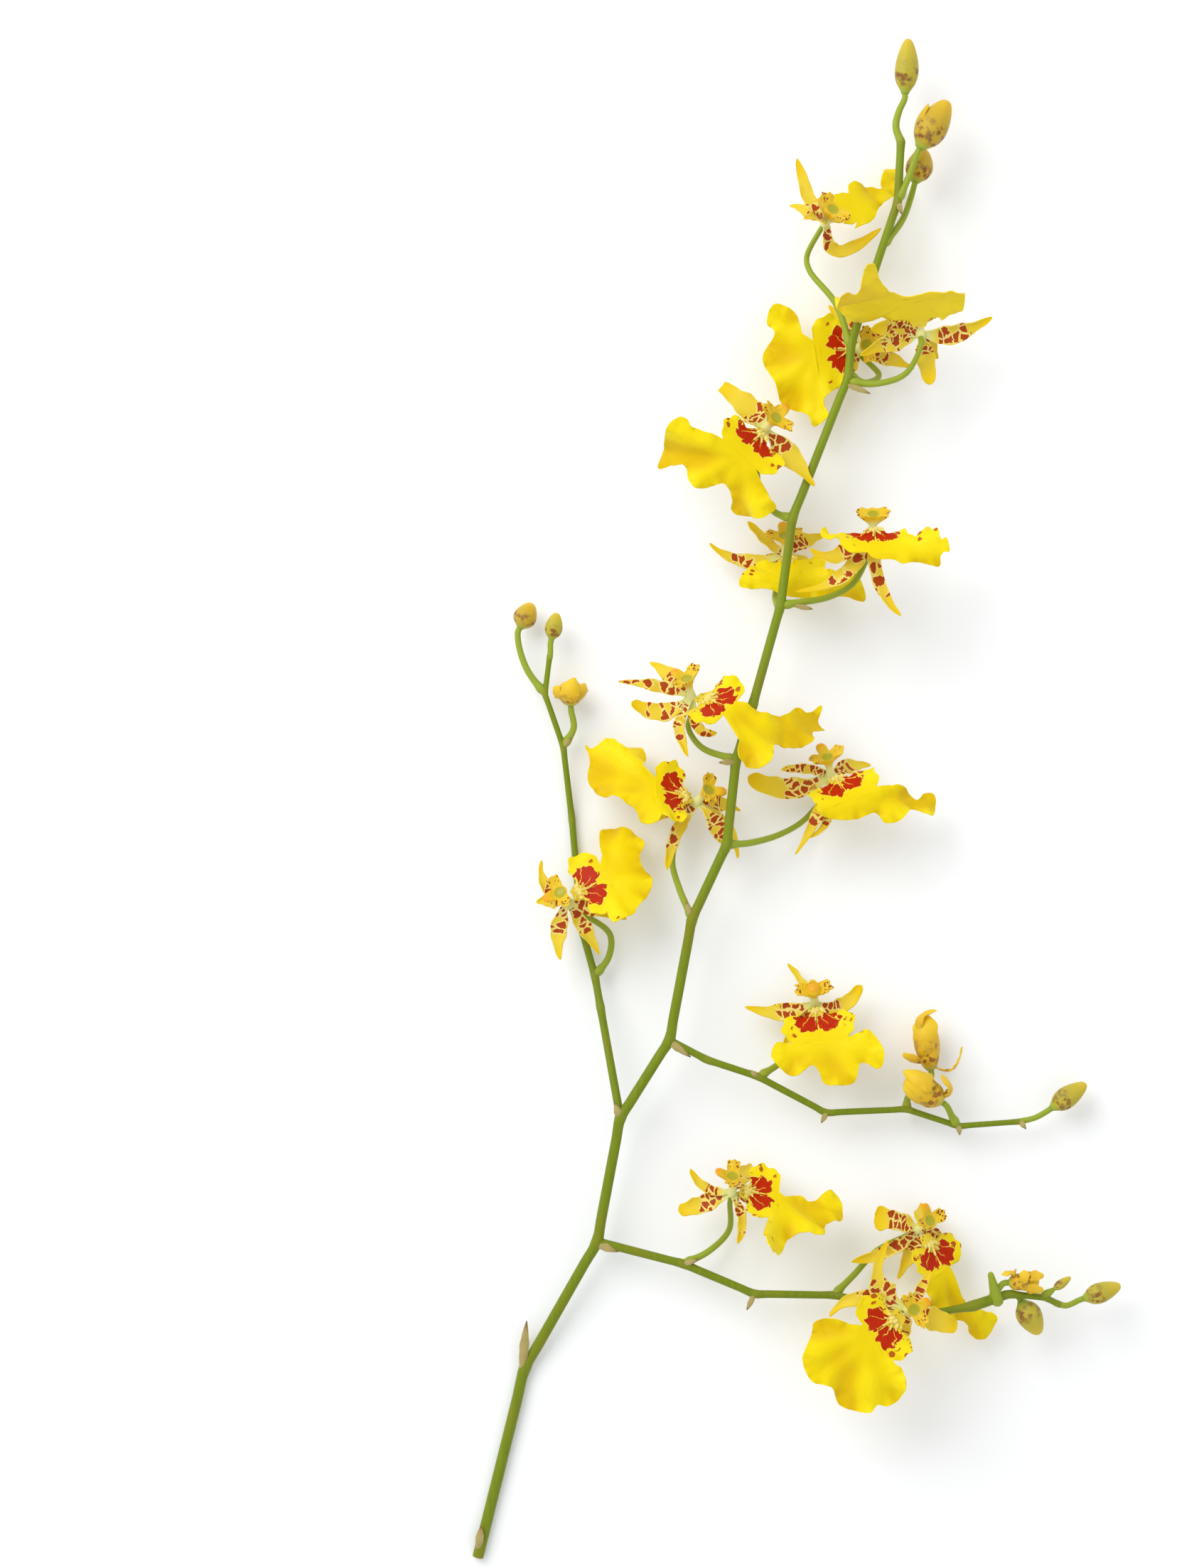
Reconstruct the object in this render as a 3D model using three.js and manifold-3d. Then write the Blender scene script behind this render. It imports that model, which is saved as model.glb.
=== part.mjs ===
// A cut spray of an oncidium orchid, lying on its side. Millimetres, +Z up.
// The spray lies in the XY plane: +Y runs from the cut end to the tip, and the surface it lies on is z = 0.
// Places in the lists below are millimetres from the cut end of the stem. The whole spray is then moved by
// MIDDLE, so that the origin lies under the middle of it.
import * as THREE from "three";
import { mergeVertices } from "three/addons/utils/BufferGeometryUtils.js";
import Module from "manifold-3d";

const wasm = await Module();
wasm.setup();

// ---------------------------------------------------------------- sizes
const MIDDLE = [90.3, 215.2];

const GAP = 0.35; // between a bloom and its pedicel, and between a lip and its column
const BLADE = 0.68; // thickness of lips, sepals and petals
const JOIN_TOLERANCE = 0.13; // slivers smaller than this are smoothed away where solids grow together
const LIP_TOLERANCE = 0.25; // and in a lip
const SPECK = 0.5; // volume under which a loose crumb is dropped

const PLATE_LENGTH = 13.5; // from the middle of a bloom to the isthmus of its lip
const PLATE_RISE = 1.0; // how far the lip's base stands in front of the sepals
const CLAW_END = 11.4; // from the isthmus back to the end of the claw
const BEND_REACH = 3; // half the length over which the lip bends at the isthmus
const WAIST = [[-2.6, -1.6], [2.6, -1.6]]; // where the middle lobe grows out of the base: [across, along]
const LIP_GRID = 4; // spacing of the rows of a lip's sheet, before it is cut out
const STEEPEST = 0.55; // where the sheet is steeper than this cosine, its thickness grows no further
const CUTTER_REACH = 30; // how far the solids that cut out a lip stand over and under it
const LOBE_EASE = 4; // half the length over which the lip's base blends into its middle lobe
const BASE_CUP = 0.012; // how fast the base rises to its sides, per mm of its half width
const CREST_HEIGHT = 2.4; // the warty crest on the lip's base
const CREST_PLACE = -5.4; // its distance from the isthmus
const CREST_SIZE = [1.6, 2.5]; // its half width and half length
const GROOVE_DEPTH = 0.7; // the groove along the middle of the lobe
const GROOVE_WIDTH = 2.2;
const GROOVE_EASE = 8; // reach at which the groove has its full depth
const WAVE_COUNTS = [5, 9]; // waves round the lip: the main ones, and finer ones on them
const FINE_WAVE = 0.6; // height of the finer waves, as a share of the main ones
const WAVE_SHARE = 0.75; // from a bloom's wave value to the height of its main waves
const REFLEX = 0.0055; // how fast the lip's edge falls back, per mm of its reach
const WAVE_REACH = 18; // reach at which the edge waves have their full height
const BLOOM_TURN = 2.1; // how far the waves of one bloom are turned from those of the next

// One half of the lip's base, from the claw round a side lobe to the isthmus: [across, along]
const SIDE_LOBE = [
  [1.7, -CLAW_END],
  [3.3, -8.6],
  [7.4, -9.2],
  [10.2, -6.2],
  [9.7, -2.6],
  [7.3, -0.2],
];

const TEPAL_LENGTH = 18.5; // sepals and petals alike are tepals below
const TEPAL_WIDTH = 5.8;
const TEPAL_ARCH = 1.4; // how far the middle of a tepal stands out to the front
const TEPAL_START = 1.15; // from the middle of the bloom to where a tepal's blade begins
const PETAL_STATIONS = [0, 0.28, 0.62, 1];
const PETAL_PROFILE = [0.2, 0.84, 1, 0.1]; // width at each station, as a share of the full width
const PETAL_CHANNEL = 0.45; // depth of the fold along the middle
const PETAL_WAVE = 0.5; // height of a tepal's edge waves
const PETAL_WAVE_TURN = 7; // how far the wave turns over the length of a tepal, in radians
const TEPAL_TURN = 1.7; // and from one tepal of a bloom to the next

const BUD_STATIONS = [0, 0.12, 0.32, 0.56, 0.8, 1];
const BUD_SIDES = 8;
const BUD_PROFILE = [0.24, 0.66, 1, 0.92, 0.56, 0.08]; // thickness at each station

const HEART_RADIUS = 1.5; // the knob that sepals, petals and column grow from

// The column: heart, neck, the two wings as one wide thin collar, and the anther cap. Each ring is
// [height, half width, half depth, lean to the back].
const COLUMN_SIDES = 6;
const COLUMN = [
  [-HEART_RADIUS, 0.7, 0.7, 0],
  [0, HEART_RADIUS, HEART_RADIUS, 0],
  [1.6, 1.1, 1.1, 0],
  [4.6, 1.2, 1.2, 0.3],
  [4.9, 4.1, 2.4, 0.5],
  [5.8, 4.0, 2.3, 0.7],
  [6.1, 1.8, 1.6, 0.8],
  [8.2, 0.6, 0.6, 0.6],
];

const NODE_REACH = 0.18; // share of an internode over which it curves into its node
const AXIS_STEPS = 3; // rings in an internode
const STALK_RADIUS = [1.0, 0.7]; // at the stem and at the bloom
const STALK_STRAIGHT = 3; // the last stretch of a pedicel, which points at its bloom
const STALK_STEPS = 5;
const STALK_SIDES = 5;
const BRACT_ARCH = 0.8;
const CURL_STATIONS = [0, 0.5, 1]; // of the petals of an opening bud
const CURL_PROFILE = [0.45, 1, 0.16];
const BRACT_STATIONS = [0, 0.45, 1];
const BRACT_PROFILE = [0.6, 1, 0.12];

// ---------------------------------------------------------------- materials
const paint = (color, roughness) => new THREE.MeshStandardMaterial({ color, roughness, metalness: 0 });
const STEM_GREEN = paint("#7fa81e", 0.5);
const LIP_YELLOW = paint("#f3d60f", 0.55);
const SEPAL_YELLOW = paint("#dcb43a", 0.55);
const BUD_GREEN = paint("#c9c53a", 0.5);
const BUD_ORANGE = paint("#d9a520", 0.5);

// ---------------------------------------------------------------- the blooms
// centre: where the sepals meet, seen from above. low: height of the bloom's lowest point over the surface.
// column: the way the bloom faces. lip: the way its lip leaves it. bend: how far the lip's middle lobe folds
// back, in degrees. wave: height of its edge waves. skirt: edge of the middle lobe, seen from above, from one
// side of the isthmus round to the other. tepals: tips of the sepals and petals, seen from above, with the
// share of their length that rises (or falls, below 0), a lift in mm, and the place that a curled one passes.
// stalk: places along the pedicel from the stem, each with its height.
const BLOOMS = [
  {
    name: "t4",
    centre: [98, 378],
    low: 0,
    column: [0.35, 0.5, 0.79],
    lip: [0.72, 0.5, -0.6],
    bend: 0,
    wave: 1.2,
    skirt: [[105, 386.5], [105.5, 390.5], [111, 390], [114.6, 389.2], [114.9, 393], [116.4, 396],
      [120.2, 395.4], [121.2, 391], [118, 387.3], [114, 384], [111.6, 379.4], [106.5, 376.6]],
    tepals: [
      { tip: [91, 396], rise: 0.1, via: [91.2, 385] },
      { tip: [114, 377.2], rise: -0.6, via: [102, 370.3] },
      { tip: [91.5, 377.5], rise: 0.7 },
      { tip: [104, 383], rise: -0.95 },
      { tip: [88.5, 384], rise: -0.6 },
    ],
    stalk: [[105.2, 343.2, 20.4], [101.4, 355.4, 18], [94, 365.5, 14], [93.3, 369.5, 12]],
  },
  {
    name: "t5_left",
    centre: [108.3, 344],
    low: 0,
    column: [0.2, 0.05, 0.98],
    lip: [-0.98, -0.14, 0.18],
    bend: 12,
    wave: 1.8,
    skirt: [[92, 347.8], [90, 354], [84.2, 356.4], [82, 351], [84.2, 348.2], [80.8, 341], [84.5, 333.6],
      [86.5, 328], [93.6, 324.7], [95.2, 321.6], [98.9, 324.4], [98, 329.4], [104.4, 334.9],
      [101.5, 337.5]],
    tepals: [
      { tip: [124, 338.5], rise: -0.3 },
      { tip: [119, 354], rise: -0.4 },
      { tip: [120, 346], rise: 0.2 },
      { tip: [100, 357], rise: -0.7 },
      { tip: [101, 333], rise: -0.7 },
    ],
    stalk: [[104.7, 335.6, 21], [109.5, 333.8, 15], [114, 337, 7]],
  },
  {
    name: "t5_right",
    centre: [124.5, 346.5],
    low: 16,
    column: [0, 0.79, -0.61],
    lip: [-0.15, 0.6, 0.78],
    bend: 0,
    wave: 1.5,
    skirt: [[108, 349.5], [101.4, 353.5], [102, 356.2], [105.8, 355.6], [107.2, 360.5], [108.4, 363.6],
      [110.4, 363], [113, 358.5], [119, 355.8], [127, 357], [135.2, 356.6], [135.5, 352.5],
      [130, 350.5]],
    tepals: [
      { tip: [145, 351.2], rise: -0.1, via: [135, 347.5] },
      { tip: [127.4, 332.6], rise: -0.2 },
      { tip: [130, 340.3], rise: -0.5 },
      { tip: [111.5, 341], rise: 0.1 },
      { tip: [109.5, 345], rise: 0.35 },
    ],
    stalk: [[104.6, 333.6, 21], [112, 332.8, 22.5], [120.3, 335.4, 24]],
  },
  {
    name: "t6",
    centre: [81, 320],
    low: 9,
    column: [0.42, 0.36, 0.83],
    lip: [-0.52, -0.65, 0.55],
    bend: 62,
    wave: 1.8,
    skirt: [[65.6, 318], [60.6, 320], [58.8, 322.5], [54.6, 321.6], [52.6, 314], [51.3, 309.4],
      [58.4, 310], [59.6, 306], [63, 303.2], [69.6, 304.4], [72, 300.6], [71.6, 297.4], [74.4, 296.2],
      [84, 297.6], [81.6, 301.6], [80, 304.6]],
    tepals: [
      { tip: [69, 332.2], rise: -0.4, width: 7.4 },
      { tip: [94.8, 304], rise: 0, lift: 1, via: [89.6, 312.6], width: 7 },
      { tip: [70, 308], rise: -0.8 },
      { tip: [86, 328], rise: -0.95 },
      { tip: [64, 312], rise: -0.95 },
    ],
    stalk: [[88.8, 295, 22.8], [84.2, 296.8, 20], [80, 303, 14]],
  },
  {
    name: "m1",
    centre: [87.5, 285.5],
    low: 0,
    column: [-0.05, 0.78, 0.62],
    lip: [0.08, -0.62, 0.78],
    bend: 52,
    wave: 1.2,
    skirt: [[79, 284], [76.4, 281.6], [74, 276.4], [82, 275.6], [87, 273.6], [96, 272.8], [104, 273.4],
      [109.6, 272.2], [107.4, 279], [99, 280.6], [95.2, 283.4], [94.6, 286.2]],
    tepals: [
      { tip: [66, 289], rise: -0.2, via: [75, 284] },
      { tip: [76.8, 295.2], rise: 0, via: [81.5, 291] },
      { tip: [99, 291.4], rise: -0.3 },
      { tip: [77, 278], rise: -0.5 },
      { tip: [98, 277], rise: -0.4 },
    ],
    stalk: [[85.2, 268.5, 23.5], [84.4, 274, 12], [86.4, 279, 3.4]],
  },
  {
    name: "m2",
    centre: [111, 291.3],
    low: 10,
    column: [0, 0.9, 0.43],
    lip: [0.05, -0.43, 0.9],
    bend: 58,
    wave: 1.4,
    skirt: [[103.4, 291.6], [97.4, 293], [96.3, 290.2], [97, 287.8], [104.6, 287], [109, 284.2],
      [113.6, 282.8], [122, 281.8], [129.2, 281.2], [129, 284.4], [131.3, 285.4], [130.4, 288.6],
      [128.4, 292], [126.3, 293.2], [120, 290.4]],
    tepals: [
      { tip: [93.6, 286.3], rise: -0.2 },
      { tip: [89.4, 274.4], rise: 0, via: [103, 279] },
      { tip: [118.4, 267.4], rise: 0, lift: 6, via: [113.6, 279] },
      { tip: [123, 286], rise: -0.7 },
      { tip: [109, 297], rise: -0.95 },
    ],
    stalk: [[85.6, 270.6, 23.2], [90, 271.4, 22.8], [98.8, 273, 21], [105.6, 276.6, 20.4], [109, 282, 20.4]],
  },
  {
    name: "m3",
    centre: [60.5, 245],
    low: 13,
    column: [-0.15, 0.75, 0.64],
    lip: [0.8, -0.28, 0.52],
    bend: 32,
    wave: 1.8,
    skirt: [[75.6, 243.2], [80.6, 240.4], [87, 240], [90.5, 242.4], [93, 240.4], [97.4, 242.8],
      [96.4, 238], [98.2, 235.6], [94.8, 235.4], [94.6, 232.6], [88, 230.5], [83.4, 231.6], [82.8, 228],
      [80, 225.2], [76, 225.4], [73.2, 228.4], [73.6, 232.6]],
    tepals: [
      { tip: [40, 249.3], rise: 0, via: [50, 248.6] },
      { tip: [43.8, 243.6], rise: 0, via: [52, 240.6] },
      { tip: [60.5, 229.4], rise: 0, lift: 5, via: [57, 236], width: 3.8 },
      { tip: [66.5, 234], rise: 0, lift: 1, via: [63.6, 239] },
      { tip: [49, 255], rise: -0.95 },
    ],
    stalk: [[72.8, 227.4, 22], [63.4, 231, 16], [59.8, 236.4, 13.6]],
  },
  {
    name: "m4",
    centre: [62.5, 215.4],
    low: 0,
    column: [0.56, 0.5, 0.66],
    lip: [-0.83, 0.33, 0.45],
    bend: 26,
    wave: 1.8,
    skirt: [[47, 225.6], [48, 228.5], [46, 230.8], [42, 231], [38, 233.9], [33, 230.8], [30.6, 231.6],
      [32, 227.4], [31.4, 222], [33.6, 218], [41, 216.5], [44.6, 213.4], [46.6, 210], [50, 209.6],
      [52.6, 213.4]],
    tepals: [
      { tip: [50, 209.8], rise: -0.4 },
      { tip: [53.8, 196.5], rise: 0, lift: 5, via: [56.2, 206], width: 4.2 },
      { tip: [68.6, 204.2], rise: 0.2, width: 6.6 },
      { tip: [73.8, 199.6], rise: -0.5, via: [71.5, 207] },
      { tip: [74.8, 213], rise: -0.6 },
    ],
    stalk: [[60.8, 182.8, 19], [57.2, 191.2, 12], [55.4, 199, 7], [57.6, 207.6, 4.4]],
  },
  {
    name: "m5",
    centre: [100, 222.8],
    low: 0,
    column: [-0.08, 0.92, 0.38],
    lip: [0.34, -0.33, 0.88],
    bend: 52,
    wave: 1.8,
    skirt: [[97.6, 217.2], [95.6, 213.6], [101, 210.6], [107, 210.8], [112.4, 212.6], [114.6, 209.7],
      [119, 210.4], [122.6, 213.6], [128.8, 211.8], [129.3, 217.6], [126.6, 218], [124, 216],
      [120.6, 219.8], [116, 220.6]],
    tepals: [
      { tip: [77, 221.6], rise: 0, via: [87, 219.6], width: 6.6 },
      { tip: [86, 224.6], rise: 0 },
      { tip: [89.8, 200.8], rise: 0, lift: 5, via: [96.4, 211], width: 4.2 },
      { tip: [93.4, 205.6], rise: 0, lift: 4, via: [99, 212], width: 4 },
      { tip: [112, 226], rise: -0.8 },
    ],
    stalk: [[70.4, 203.6, 21], [77, 204, 17], [86, 206.4, 10], [93, 210.4, 4.5], [98, 216, 2.4]],
  },
  {
    name: "b1",
    centre: [95.8, 158.4],
    low: 2,
    column: [-0.08, 0.55, 0.83],
    lip: [0.1, -0.82, 0.56],
    bend: 14,
    wave: 1.8,
    skirt: [[90.4, 147.6], [84.5, 147.4], [83, 144.4], [84.4, 141.8], [90, 138.4], [94.6, 141.6],
      [96.4, 139.8], [98, 136.4], [106.4, 136.8], [108.4, 142.4], [113.3, 140.3], [114.8, 143.4],
      [114, 147.4], [110.6, 151.2], [105, 149.6]],
    tepals: [
      { tip: [76, 157], rise: 0, via: [86, 156.4] },
      { tip: [108.8, 163.6], rise: 0.3, via: [103, 159] },
      { tip: [89, 168.6], rise: -0.4 },
      { tip: [87, 145.6], rise: -0.5 },
      { tip: [104.6, 142], rise: -0.6 },
    ],
    stalk: [[79.8, 138, 13.5], [86, 141.6, 9], [93, 148, 3.5]],
  },
  {
    name: "b2_first",
    centre: [72, 105.4],
    low: 0,
    column: [0.1, 0.75, 0.65],
    lip: [0.97, -0.1, 0.02],
    bend: 4,
    wave: 1.6,
    skirt: [[87, 104.2], [91, 104.4], [94, 102.4], [101, 105.4], [103.3, 98], [98.4, 96.6], [97.5, 94.2],
      [94, 95.2], [88.2, 93.8], [85.5, 90.3], [82.5, 92], [80.4, 95.4]],
    tepals: [
      { tip: [60.3, 112], rise: 0, via: [64.5, 107.4] },
      { tip: [57, 100.3], rise: 0, via: [64, 102], width: 6.4 },
      { tip: [73.6, 91.2], rise: 0.2, via: [74.8, 98] },
      { tip: [86, 96.5], rise: -0.9 },
      { tip: [78, 112], rise: -0.95 },
    ],
    stalk: [[58.4, 84.6, 9], [65.6, 88, 8], [71.4, 93.6, 6]],
  },
  {
    name: "b2_second",
    centre: [125, 94.6],
    low: 0,
    column: [0.34, 0.33, 0.88],
    lip: [0.46, -0.88, 0.1],
    bend: 12,
    wave: 1.5,
    skirt: [[126.4, 80], [127.4, 76], [128.6, 71.6], [130.6, 67.4], [132.6, 67.2], [134, 69.3],
      [137.6, 68.4], [139.6, 65.4], [142, 62.5], [145, 63.4], [147.3, 69.4], [144, 71], [140, 72.2],
      [137, 75.6]],
    tepals: [
      { tip: [112, 98.8], rise: 0.2, width: 7.4 },
      { tip: [106, 85.4], rise: 0, via: [116.4, 88.6] },
      { tip: [126.5, 101], rise: -0.6 },
      { tip: [119.4, 80], rise: -0.5 },
      { tip: [134.6, 87.4], rise: -0.65 },
    ],
    stalk: [[101, 76, 11.5], [107, 81.6, 8.5], [113.6, 88, 5.5]],
  },
  {
    name: "b2_third",
    centre: [121, 73.8],
    low: 18,
    column: [0.12, 0.05, 0.99],
    lip: [-0.83, -0.55, 0.12],
    bend: 8,
    wave: 1.3,
    skirt: [[104.4, 70], [100, 71.5], [94.6, 70.2], [94, 67], [91.4, 60.4], [94, 53.8], [98.4, 52.6],
      [99.8, 51.8], [102, 46.7], [110.5, 45.3], [112.3, 47.3], [114.6, 46.7], [118.2, 48.3], [119.9, 52],
      [119, 57.4], [117.2, 58.8]],
    tepals: [
      { tip: [115.4, 93.2], rise: 0, via: [114, 82], width: 8.2 },
      { tip: [133, 67.6], rise: 0, width: 6.6 },
      { tip: [99, 71.8], rise: -0.6, via: [107, 76.6] },
      { tip: [127.2, 84.6], rise: -0.1 },
      { tip: [117, 60], rise: -0.7 },
    ],
    stalk: [[106, 75.8, 12], [113, 74.6, 12.4]],
  },
  {
    name: "b3",
    centre: [25.5, 187.6],
    low: 5,
    column: [-0.22, 0.42, 0.88],
    lip: [0.85, 0.5, 0.03],
    bend: 10,
    wave: 1.3,
    skirt: [[35.4, 200.5], [34.7, 204], [35.2, 207.2], [39.6, 208.1], [42.6, 207.9], [45.3, 205.9],
      [47.6, 203.5], [46.1, 201], [46.9, 196.9], [49.3, 194.5], [49.6, 192.3], [48.3, 189.5],
      [45.9, 186.5], [40.6, 182.9], [37.9, 183.2], [36.8, 186.5], [37.6, 189]],
    tepals: [
      { tip: [16.9, 187.2], rise: 0 },
      { tip: [18.3, 199], rise: -0.2, via: [19.4, 192], width: 3.6 },
      { tip: [23.6, 171], rise: 0, via: [23.2, 178.6] },
      { tip: [34.6, 172.5], rise: 0, via: [31, 179], width: 4.6 },
      { tip: [42.3, 182.4], rise: -0.3 },
    ],
    stalk: [[33.4, 166, 5], [37.4, 171.6, 5], [37.6, 178, 5]],
  },
];

// ---------------------------------------------------------------- the buds
// from and to: the bud's two ends, with heights. width: its thickness. petals: on an opening bud, the petals
// that curl off it, each from the bud's foot past one place to a tip. stalk: its pedicel from the stem.
const BUDS = [
  {
    name: "bud_top_first",
    from: [121.2, 414.6, 16],
    to: [121.8, 430.8, 15],
    width: 7,
    material: BUD_GREEN,
    stalk: [[118.1, 405.8, 16.6], [118.9, 410, 16.4]],
  },
  {
    name: "bud_top_second",
    from: [124.2, 401, 18],
    to: [132.8, 412.2, 17.5],
    width: 8.6,
    material: BUD_ORANGE,
    stalk: [[118.7, 384.6, 18], [121.6, 392.6, 18.2]],
  },
  {
    name: "bud_top_third",
    from: [125, 390.6, 12],
    to: [128, 400.4, 10.5],
    width: 6.2,
    material: BUD_ORANGE,
    stalk: [[114.4, 371.8, 18.8], [120.4, 380.4, 15]],
  },
  {
    name: "bud_first_branch",
    from: [162.8, 128.4, 7],
    to: [173, 135.5, 6.5],
    width: 6.2,
    material: BUD_GREEN,
    stalk: [[154, 124.8, 7.5], [158.4, 125.9, 7.4]],
  },
  {
    name: "opening_first_branch_upper",
    from: [128.6, 139.4, 7.5],
    to: [126.8, 153.4, 7],
    width: 8.8,
    material: BUD_ORANGE,
    petals: [
      { via: [123.2, 146, 9.5], tip: [128.6, 154.4, 10], width: 4 },
      { via: [134, 139.6, 8], tip: [136.6, 145, 9], width: 3.6 },
      { via: [124, 140.6, 9], tip: [121.2, 143.4, 8], width: 4.4 },
      { via: [131.6, 145, 11], tip: [129.6, 150.6, 10.5], width: 4.4 },
    ],
    stalk: [[121.8, 128.4, 9], [122.6, 131.6, 4.5], [126, 135, 3.4]],
  },
  {
    name: "opening_first_branch_lower",
    from: [131.8, 131.4, 12.5],
    to: [120.6, 138.2, 13],
    width: 8.2,
    material: BUD_ORANGE,
    petals: [
      { via: [134.2, 134.4, 13.5], tip: [130.6, 138.4, 15.5], width: 4.4 },
      { via: [126, 130.6, 14.5], tip: [121.4, 132.8, 14], width: 4.2 },
      { via: [128.6, 135.4, 17.4], tip: [122, 139.4, 15.4], width: 4.6 },
    ],
    stalk: [[136.4, 123.6, 8.5], [134, 126.4, 10]],
  },
  {
    name: "opening_second_branch",
    from: [149.6, 80.2, 17.5],
    to: [158.6, 80.8, 17],
    width: 5.2,
    material: BUD_ORANGE,
    petals: [
      { via: [151, 83.2, 18.5], tip: [147.8, 82.6, 19], width: 3.2 },
      { via: [153.4, 81.6, 20.2], tip: [154, 83.8, 19.2], width: 3.4 },
      { via: [155.4, 78.8, 19.6], tip: [159.4, 78.2, 19], width: 3.4 },
      { via: [156, 82.4, 19.4], tip: [159.6, 82.4, 18.4], width: 3.4 },
    ],
    stalk: [[144.6, 75.5, 18], [146.8, 78.4, 18]],
  },
  {
    name: "bud_second_branch_down",
    from: [153.6, 74.8, 13.2],
    to: [159.2, 65, 12],
    width: 7.2,
    material: BUD_GREEN,
    stalk: [[150, 77, 17], [151.4, 76.6, 15]],
  },
  {
    name: "bud_second_branch_side",
    from: [162.6, 78, 15.5],
    to: [167.6, 81.6, 15.5],
    width: 2.6,
    material: STEM_GREEN,
    stalk: [[159.2, 75.9, 15.6], [161, 77, 15.5]],
  },
  {
    name: "bud_second_branch_tip",
    from: [171.2, 75.2, 13.5],
    to: [182, 79, 13],
    width: 5.8,
    material: BUD_GREEN,
    stalk: [[163.4, 74.2, 14.9], [166.4, 73.4, 14.4]],
  },
  {
    name: "opening_third_branch",
    from: [27, 242.8, 6.5],
    to: [25, 249.6, 6.5],
    width: 7.6,
    material: BUD_ORANGE,
    petals: [
      { via: [30.6, 243.8, 8], tip: [30.4, 248, 7.5], width: 4.2 },
      { via: [22.6, 243.8, 8], tip: [21.4, 247.8, 7.5], width: 4.2 },
      { via: [26, 245, 11], tip: [26.6, 249.8, 10], width: 4.6 },
    ],
    stalk: [[24.4, 231.2, 5], [27.4, 236.6, 6]],
  },
  {
    name: "bud_third_branch_end",
    from: [21, 261.4, 8],
    to: [22.6, 269.2, 8],
    width: 5,
    material: BUD_GREEN,
    stalk: [[20.6, 256.4, 8], [20.8, 258.6, 8]],
  },
  {
    name: "bud_third_branch_tip",
    from: [12, 264.8, 6],
    to: [15.6, 272, 5.5],
    width: 6.6,
    material: BUD_ORANGE,
    stalk: [[19.2, 246.2, 7], [14.4, 252.6, 6.6], [12, 259, 6.2]],
  },
];

// ---------------------------------------------------------------- the stem and its branches
// Each axis: its nodes with their heights, and its thickness at both ends. It runs nearly straight from node
// to node.
const AXES = [
  {
    route: [[0, 0, 1.45], [13.4, 54, 1.9], [34, 90.8, 8], [40.6, 126.2, 12.5], [54.4, 148.4, 15.5],
      [60.8, 182.8, 19], [70.4, 203.6, 21], [73, 227.2, 22], [77.6, 242.6, 22.8], [85.4, 270.6, 23.2],
      [88.8, 295, 22.8], [104.6, 335.2, 21], [105.4, 344.2, 20.4], [111.2, 362.4, 19.4],
      [118.6, 384.4, 18], [119.6, 401.4, 17], [118.1, 405.8, 16.6]],
    radius: [1.55, 0.9],
    sides: 8,
  },
  {
    route: [[54.4, 148.4, 15.5], [65, 142.8, 14.8], [79.4, 138, 13.5], [98.8, 127.6, 11],
      [121.8, 128.4, 9], [136.4, 123.6, 8.5], [154, 124.8, 7.5]],
    radius: [1.05, 0.8],
    sides: 6,
  },
  {
    route: [[34, 90.8, 8], [58.4, 84.6, 9], [78.6, 76.2, 10], [101, 76, 11.5], [120, 72.6, 15.6],
      [130, 72.2, 20], [139.6, 73.8, 19], [150, 77, 17], [160.4, 75.8, 15.5], [164.4, 73.8, 14.8]],
    radius: [1.25, 0.85],
    sides: 6,
  },
  {
    route: [[40.6, 126.2, 12.5], [35, 157.2, 7], [33.4, 166, 5], [29.6, 179.4, 1.6], [26.8, 211, 1.6],
      [24.4, 231.2, 5], [19.2, 246.2, 7], [20.6, 257, 8]],
    radius: [1.2, 0.75],
    sides: 6,
  },
];

// Dry bracts at the nodes: foot and tip, with heights, and width.
const BRACTS = [
  { foot: [0.2, 2.4, 2.4], tip: [1, 9.4, 4], width: 3.4 },
  { foot: [12.6, 53.4, 2.6], tip: [14, 68, 5.4], width: 3.6 },
  { foot: [33.6, 90.4, 8.6], tip: [40, 88, 8.6], width: 3 },
  { foot: [40.6, 125.8, 13], tip: [39, 130.6, 13.6], width: 2.8 },
  { foot: [53.8, 148.4, 16], tip: [60.4, 143.6, 15.4], width: 2.8 },
  { foot: [58.2, 84.4, 9.6], tip: [62.6, 86, 10], width: 2.2 },
  { foot: [78.6, 76.4, 10.4], tip: [76.4, 71.8, 11], width: 2.2 },
  { foot: [79.4, 138, 14], tip: [77.2, 139.8, 14.4], width: 2 },
  { foot: [99, 127.8, 11.4], tip: [97.4, 124.8, 12], width: 2 },
  { foot: [136.4, 124, 9], tip: [136.8, 121.2, 9.4], width: 2 },
  { foot: [154, 125, 8], tip: [155.6, 122.8, 8.4], width: 2 },
  { foot: [60.8, 182.8, 19.4], tip: [59, 187.4, 18.6], width: 2.2 },
  { foot: [73.2, 226.8, 22.6], tip: [68.2, 226.6, 23], width: 2.4 },
  { foot: [89.4, 271, 23.4], tip: [98.6, 271.4, 23], width: 2.2 },
  { foot: [104.2, 332.6, 21.8], tip: [110.6, 330, 22.6], width: 2.2 },
  { foot: [118.6, 384.4, 18.4], tip: [119.6, 380.8, 19.4], width: 2 },
  { foot: [24.4, 231.4, 5.4], tip: [26.6, 233.6, 6.4], width: 2 },
  { foot: [144.2, 75.4, 18.4], tip: [144.2, 83.4, 20.8], width: 3.2 },
];

// ---------------------------------------------------------------- helpers
const vector = (x, y, z = 0) => new THREE.Vector3(x, y, z);
const mix = (a, b, share) => a + (b - a) * share;
const unit = ([x, y, z]) => vector(x, y, z).normalize();

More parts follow.
